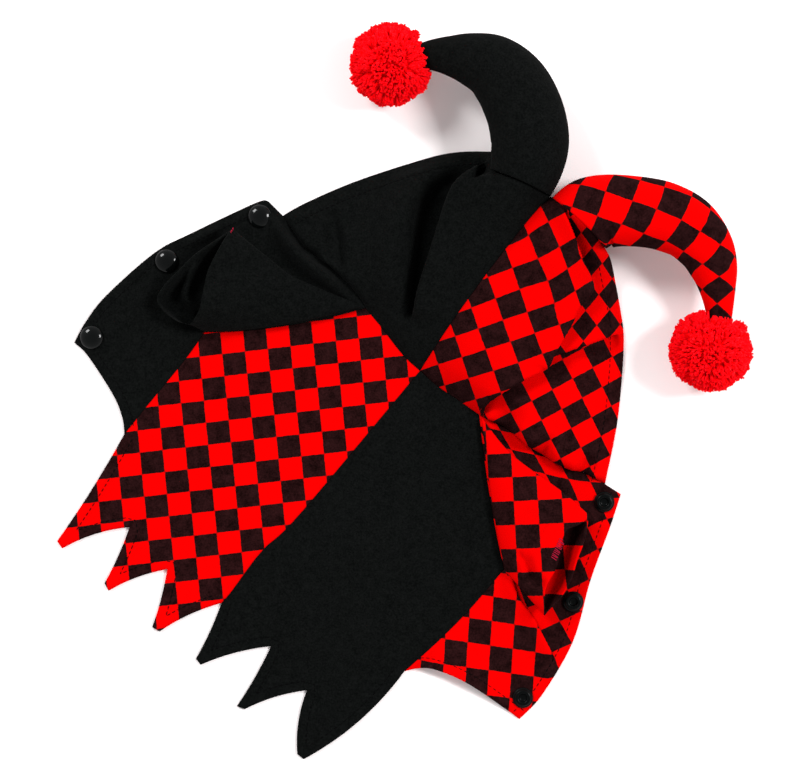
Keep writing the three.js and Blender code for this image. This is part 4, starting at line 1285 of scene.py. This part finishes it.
def overlock(name, line, grid, pitch=0.95, long=3.4, thick=0.24):
    """A row of short threads that lie across a raw edge, leaning a little."""
    points, faces = [], []
    total = lengths(line)[-1]
    for k in range(int(total / pitch)):
        share = k * pitch / total
        spot = at(line, np.array([share, min(1, share + 0.01)]))
        run = spot[1] - spot[0]
        run /= np.linalg.norm(run) + 1e-9
        across = np.array([-run[1], run[0]])
        lean = 0.5 + 0.35 * math.sin(k * 2.3)
        faces += thread_faces(len(points), 3)
        for out in (0.0, 0.5, 1.0):
            middle = spot[0] + across * out * long + run * out * lean
            height = top_height(grid, middle)
            for side, up in THREAD_SIDES:
                points.append((*(middle + run * side * thick), height + up * thick))
    return tidy_mesh(build(name, points, faces, OVERLOCK))


OVERLOCK_LINE = [(81.8, -75.0), (79.2, -80.6), (76.6, -86.2)]
TIP_LINE = [(-88.7, 83.6), (-87.0, 86.4)]
threads = {
    "sleeve_right": overlock("thread_sleeve_right", trace(OVERLOCK_LINE), sleeve_right_grid),
    "sleeve_left": overlock("thread_sleeve_left", trace(TIP_LINE), sleeve_left_grid, 0.6, 0.9, 0.16),
}
# Stitched edges of each piece, with the side of the edge on which the cloth lies (1 is the line's left)
STITCHED = [
    ("back_left", back_left_top, STITCH_INSET, [(joined(hem_left), 1)]),
    ("back_right", back_right_top, STITCH_INSET, [(joined(hem_right), 1)]),
    ("belly_left", belly_left_top, STITCH_INSET, [(trace(FRONT_LEFT), 1), (trace(LEG_LEFT), -1)]),
    ("belly_right", belly_right_top, STITCH_INSET, [(trace(FRONT_RIGHT), -1), (trace(LEG_RIGHT), 1)]),
    ("hood_left", hood_left_top, FACE_STITCH_INSET, [(trace(HOOD_FACE_LEFT), -1)]),
    ("hood_right", hood_right_top, FACE_STITCH_INSET, [(trace(HOOD_FACE_RIGHT), 1)]),
]
for node, grid, inset, edges in STITCHED:
    threads[node] = stitches(f"thread_{node}", [inset_line(edge, inset, side) for edge, side in edges], grid)

# Sheets: the piece, its solid, its finish, the size and area of its cut in millimetres, and what it lies on
SHEETS = [
    (back_left, "back_left", "check_cloth", (190, 170), 16000, "table"),
    (back_right, "back_right", "black_cloth", (162, 204), 16500, "table"),
    (belly_left, "belly_left", "black_cloth", (153, 123), 8000, "table"),
    (belly_right, "belly_right", "check_cloth", (113, 160), 8000, "table"),
    (hood_left, "hood_left", "black_cloth", (152, 112), 10200, "table"),
    (hood_right, "hood_right", "check_cloth", (152, 118), 11800, "table"),
    (sleeve_left, "sleeve_left", "black_cloth", (180, 56), 6000, "cloth_belly_left"),
    (sleeve_right, "sleeve_right", "check_cloth", (180, 52), 5400, "cloth_belly_right"),
]
for piece, node, finish, flat, area, below in SHEETS:
    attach(piece, "root")
    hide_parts(node)
    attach(threads[node], "root")

OTHERS = [
    (horn_left, "horn_left", "black_cloth"), (horn_right, "horn_right", "check_cloth"),
    (pompom_left, "pompom_left", "yarn"), (pompom_right, "pompom_right", "yarn"),
]
OTHERS += [(piece, f"snap_cap_{k + 1}", "snap_plastic") for k, piece in enumerate(caps)]
OTHERS += [(piece, f"snap_socket_{k + 1}", "snap_plastic") for k, piece in enumerate(sockets)]
for piece, node, finish in OTHERS:
    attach(piece, "root")
    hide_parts(node)

# Table, lights and camera
TABLE_SIZE = 6.0
TABLE_TOP = -0.0001
bpy.ops.mesh.primitive_plane_add(size=TABLE_SIZE, location=(0, 0, TABLE_TOP))
table = bpy.context.object
table.name = "table"
table.data.materials.append(PAPER)


def soft_light(name, place, size, power):
    """A square light aimed at the middle of the scene."""
    data = bpy.data.lights.new(name, "AREA")
    data.shape = "SQUARE"
    data.size = size
    data.energy = power
    lamp = bpy.data.objects.new(name, data)
    lamp.location = place
    bpy.context.scene.collection.objects.link(lamp)
    aim = bpy.data.objects.new(name + "_aim", None)
    bpy.context.scene.collection.objects.link(aim)
    hold = lamp.constraints.new("TRACK_TO")
    hold.target = aim
    hold.track_axis = "TRACK_NEGATIVE_Z"
    hold.up_axis = "UP_Y"


# Places and sizes in metres, powers in watts
soft_light("light_left", (-0.9, 1.0, 1.4), 0.5, 24.0)
soft_light("light_right", (1.2, 0.3, 1.45), 0.45, 29.0)
# The sky is dimmer overhead than at its sides
SKY_TOP = 0.38
SKY_SIDES = 1.4
world = bpy.data.worlds.new("studio")
world.use_nodes = True
sky = world.node_tree
sky.nodes["Background"].inputs["Color"].default_value = (1, 1, 1, 1)
sky_parts = sky.nodes.new("ShaderNodeSeparateXYZ")
link(sky, sky.nodes.new("ShaderNodeTexCoord").outputs["Generated"], sky_parts.inputs[0])
overhead = maths(sky, "MAXIMUM", sky_parts.outputs["Z"], 0.0)
sky_strength = maths(sky, "ADD", maths(sky, "MULTIPLY", overhead, SKY_TOP - SKY_SIDES), SKY_SIDES)
link(sky, sky_strength, sky.nodes["Background"].inputs["Strength"])
bpy.context.scene.world = world

CAMERA_HEIGHT = 1600.0
VIEW_WIDTH = 420.0
SENSOR = 36.0
camera_data = bpy.data.cameras.new("camera")
camera_data.sensor_width = SENSOR
camera_data.lens = SENSOR * CAMERA_HEIGHT / VIEW_WIDTH
camera_data.clip_start = 0.05
camera_data.clip_end = 20.0
camera = bpy.data.objects.new("camera", camera_data)
camera.location = (-0.99 * MM, 2.26 * MM, CAMERA_HEIGHT * MM)
bpy.context.scene.collection.objects.link(camera)
bpy.context.scene.camera = camera
bpy.context.scene.view_settings.view_transform = "Standard"
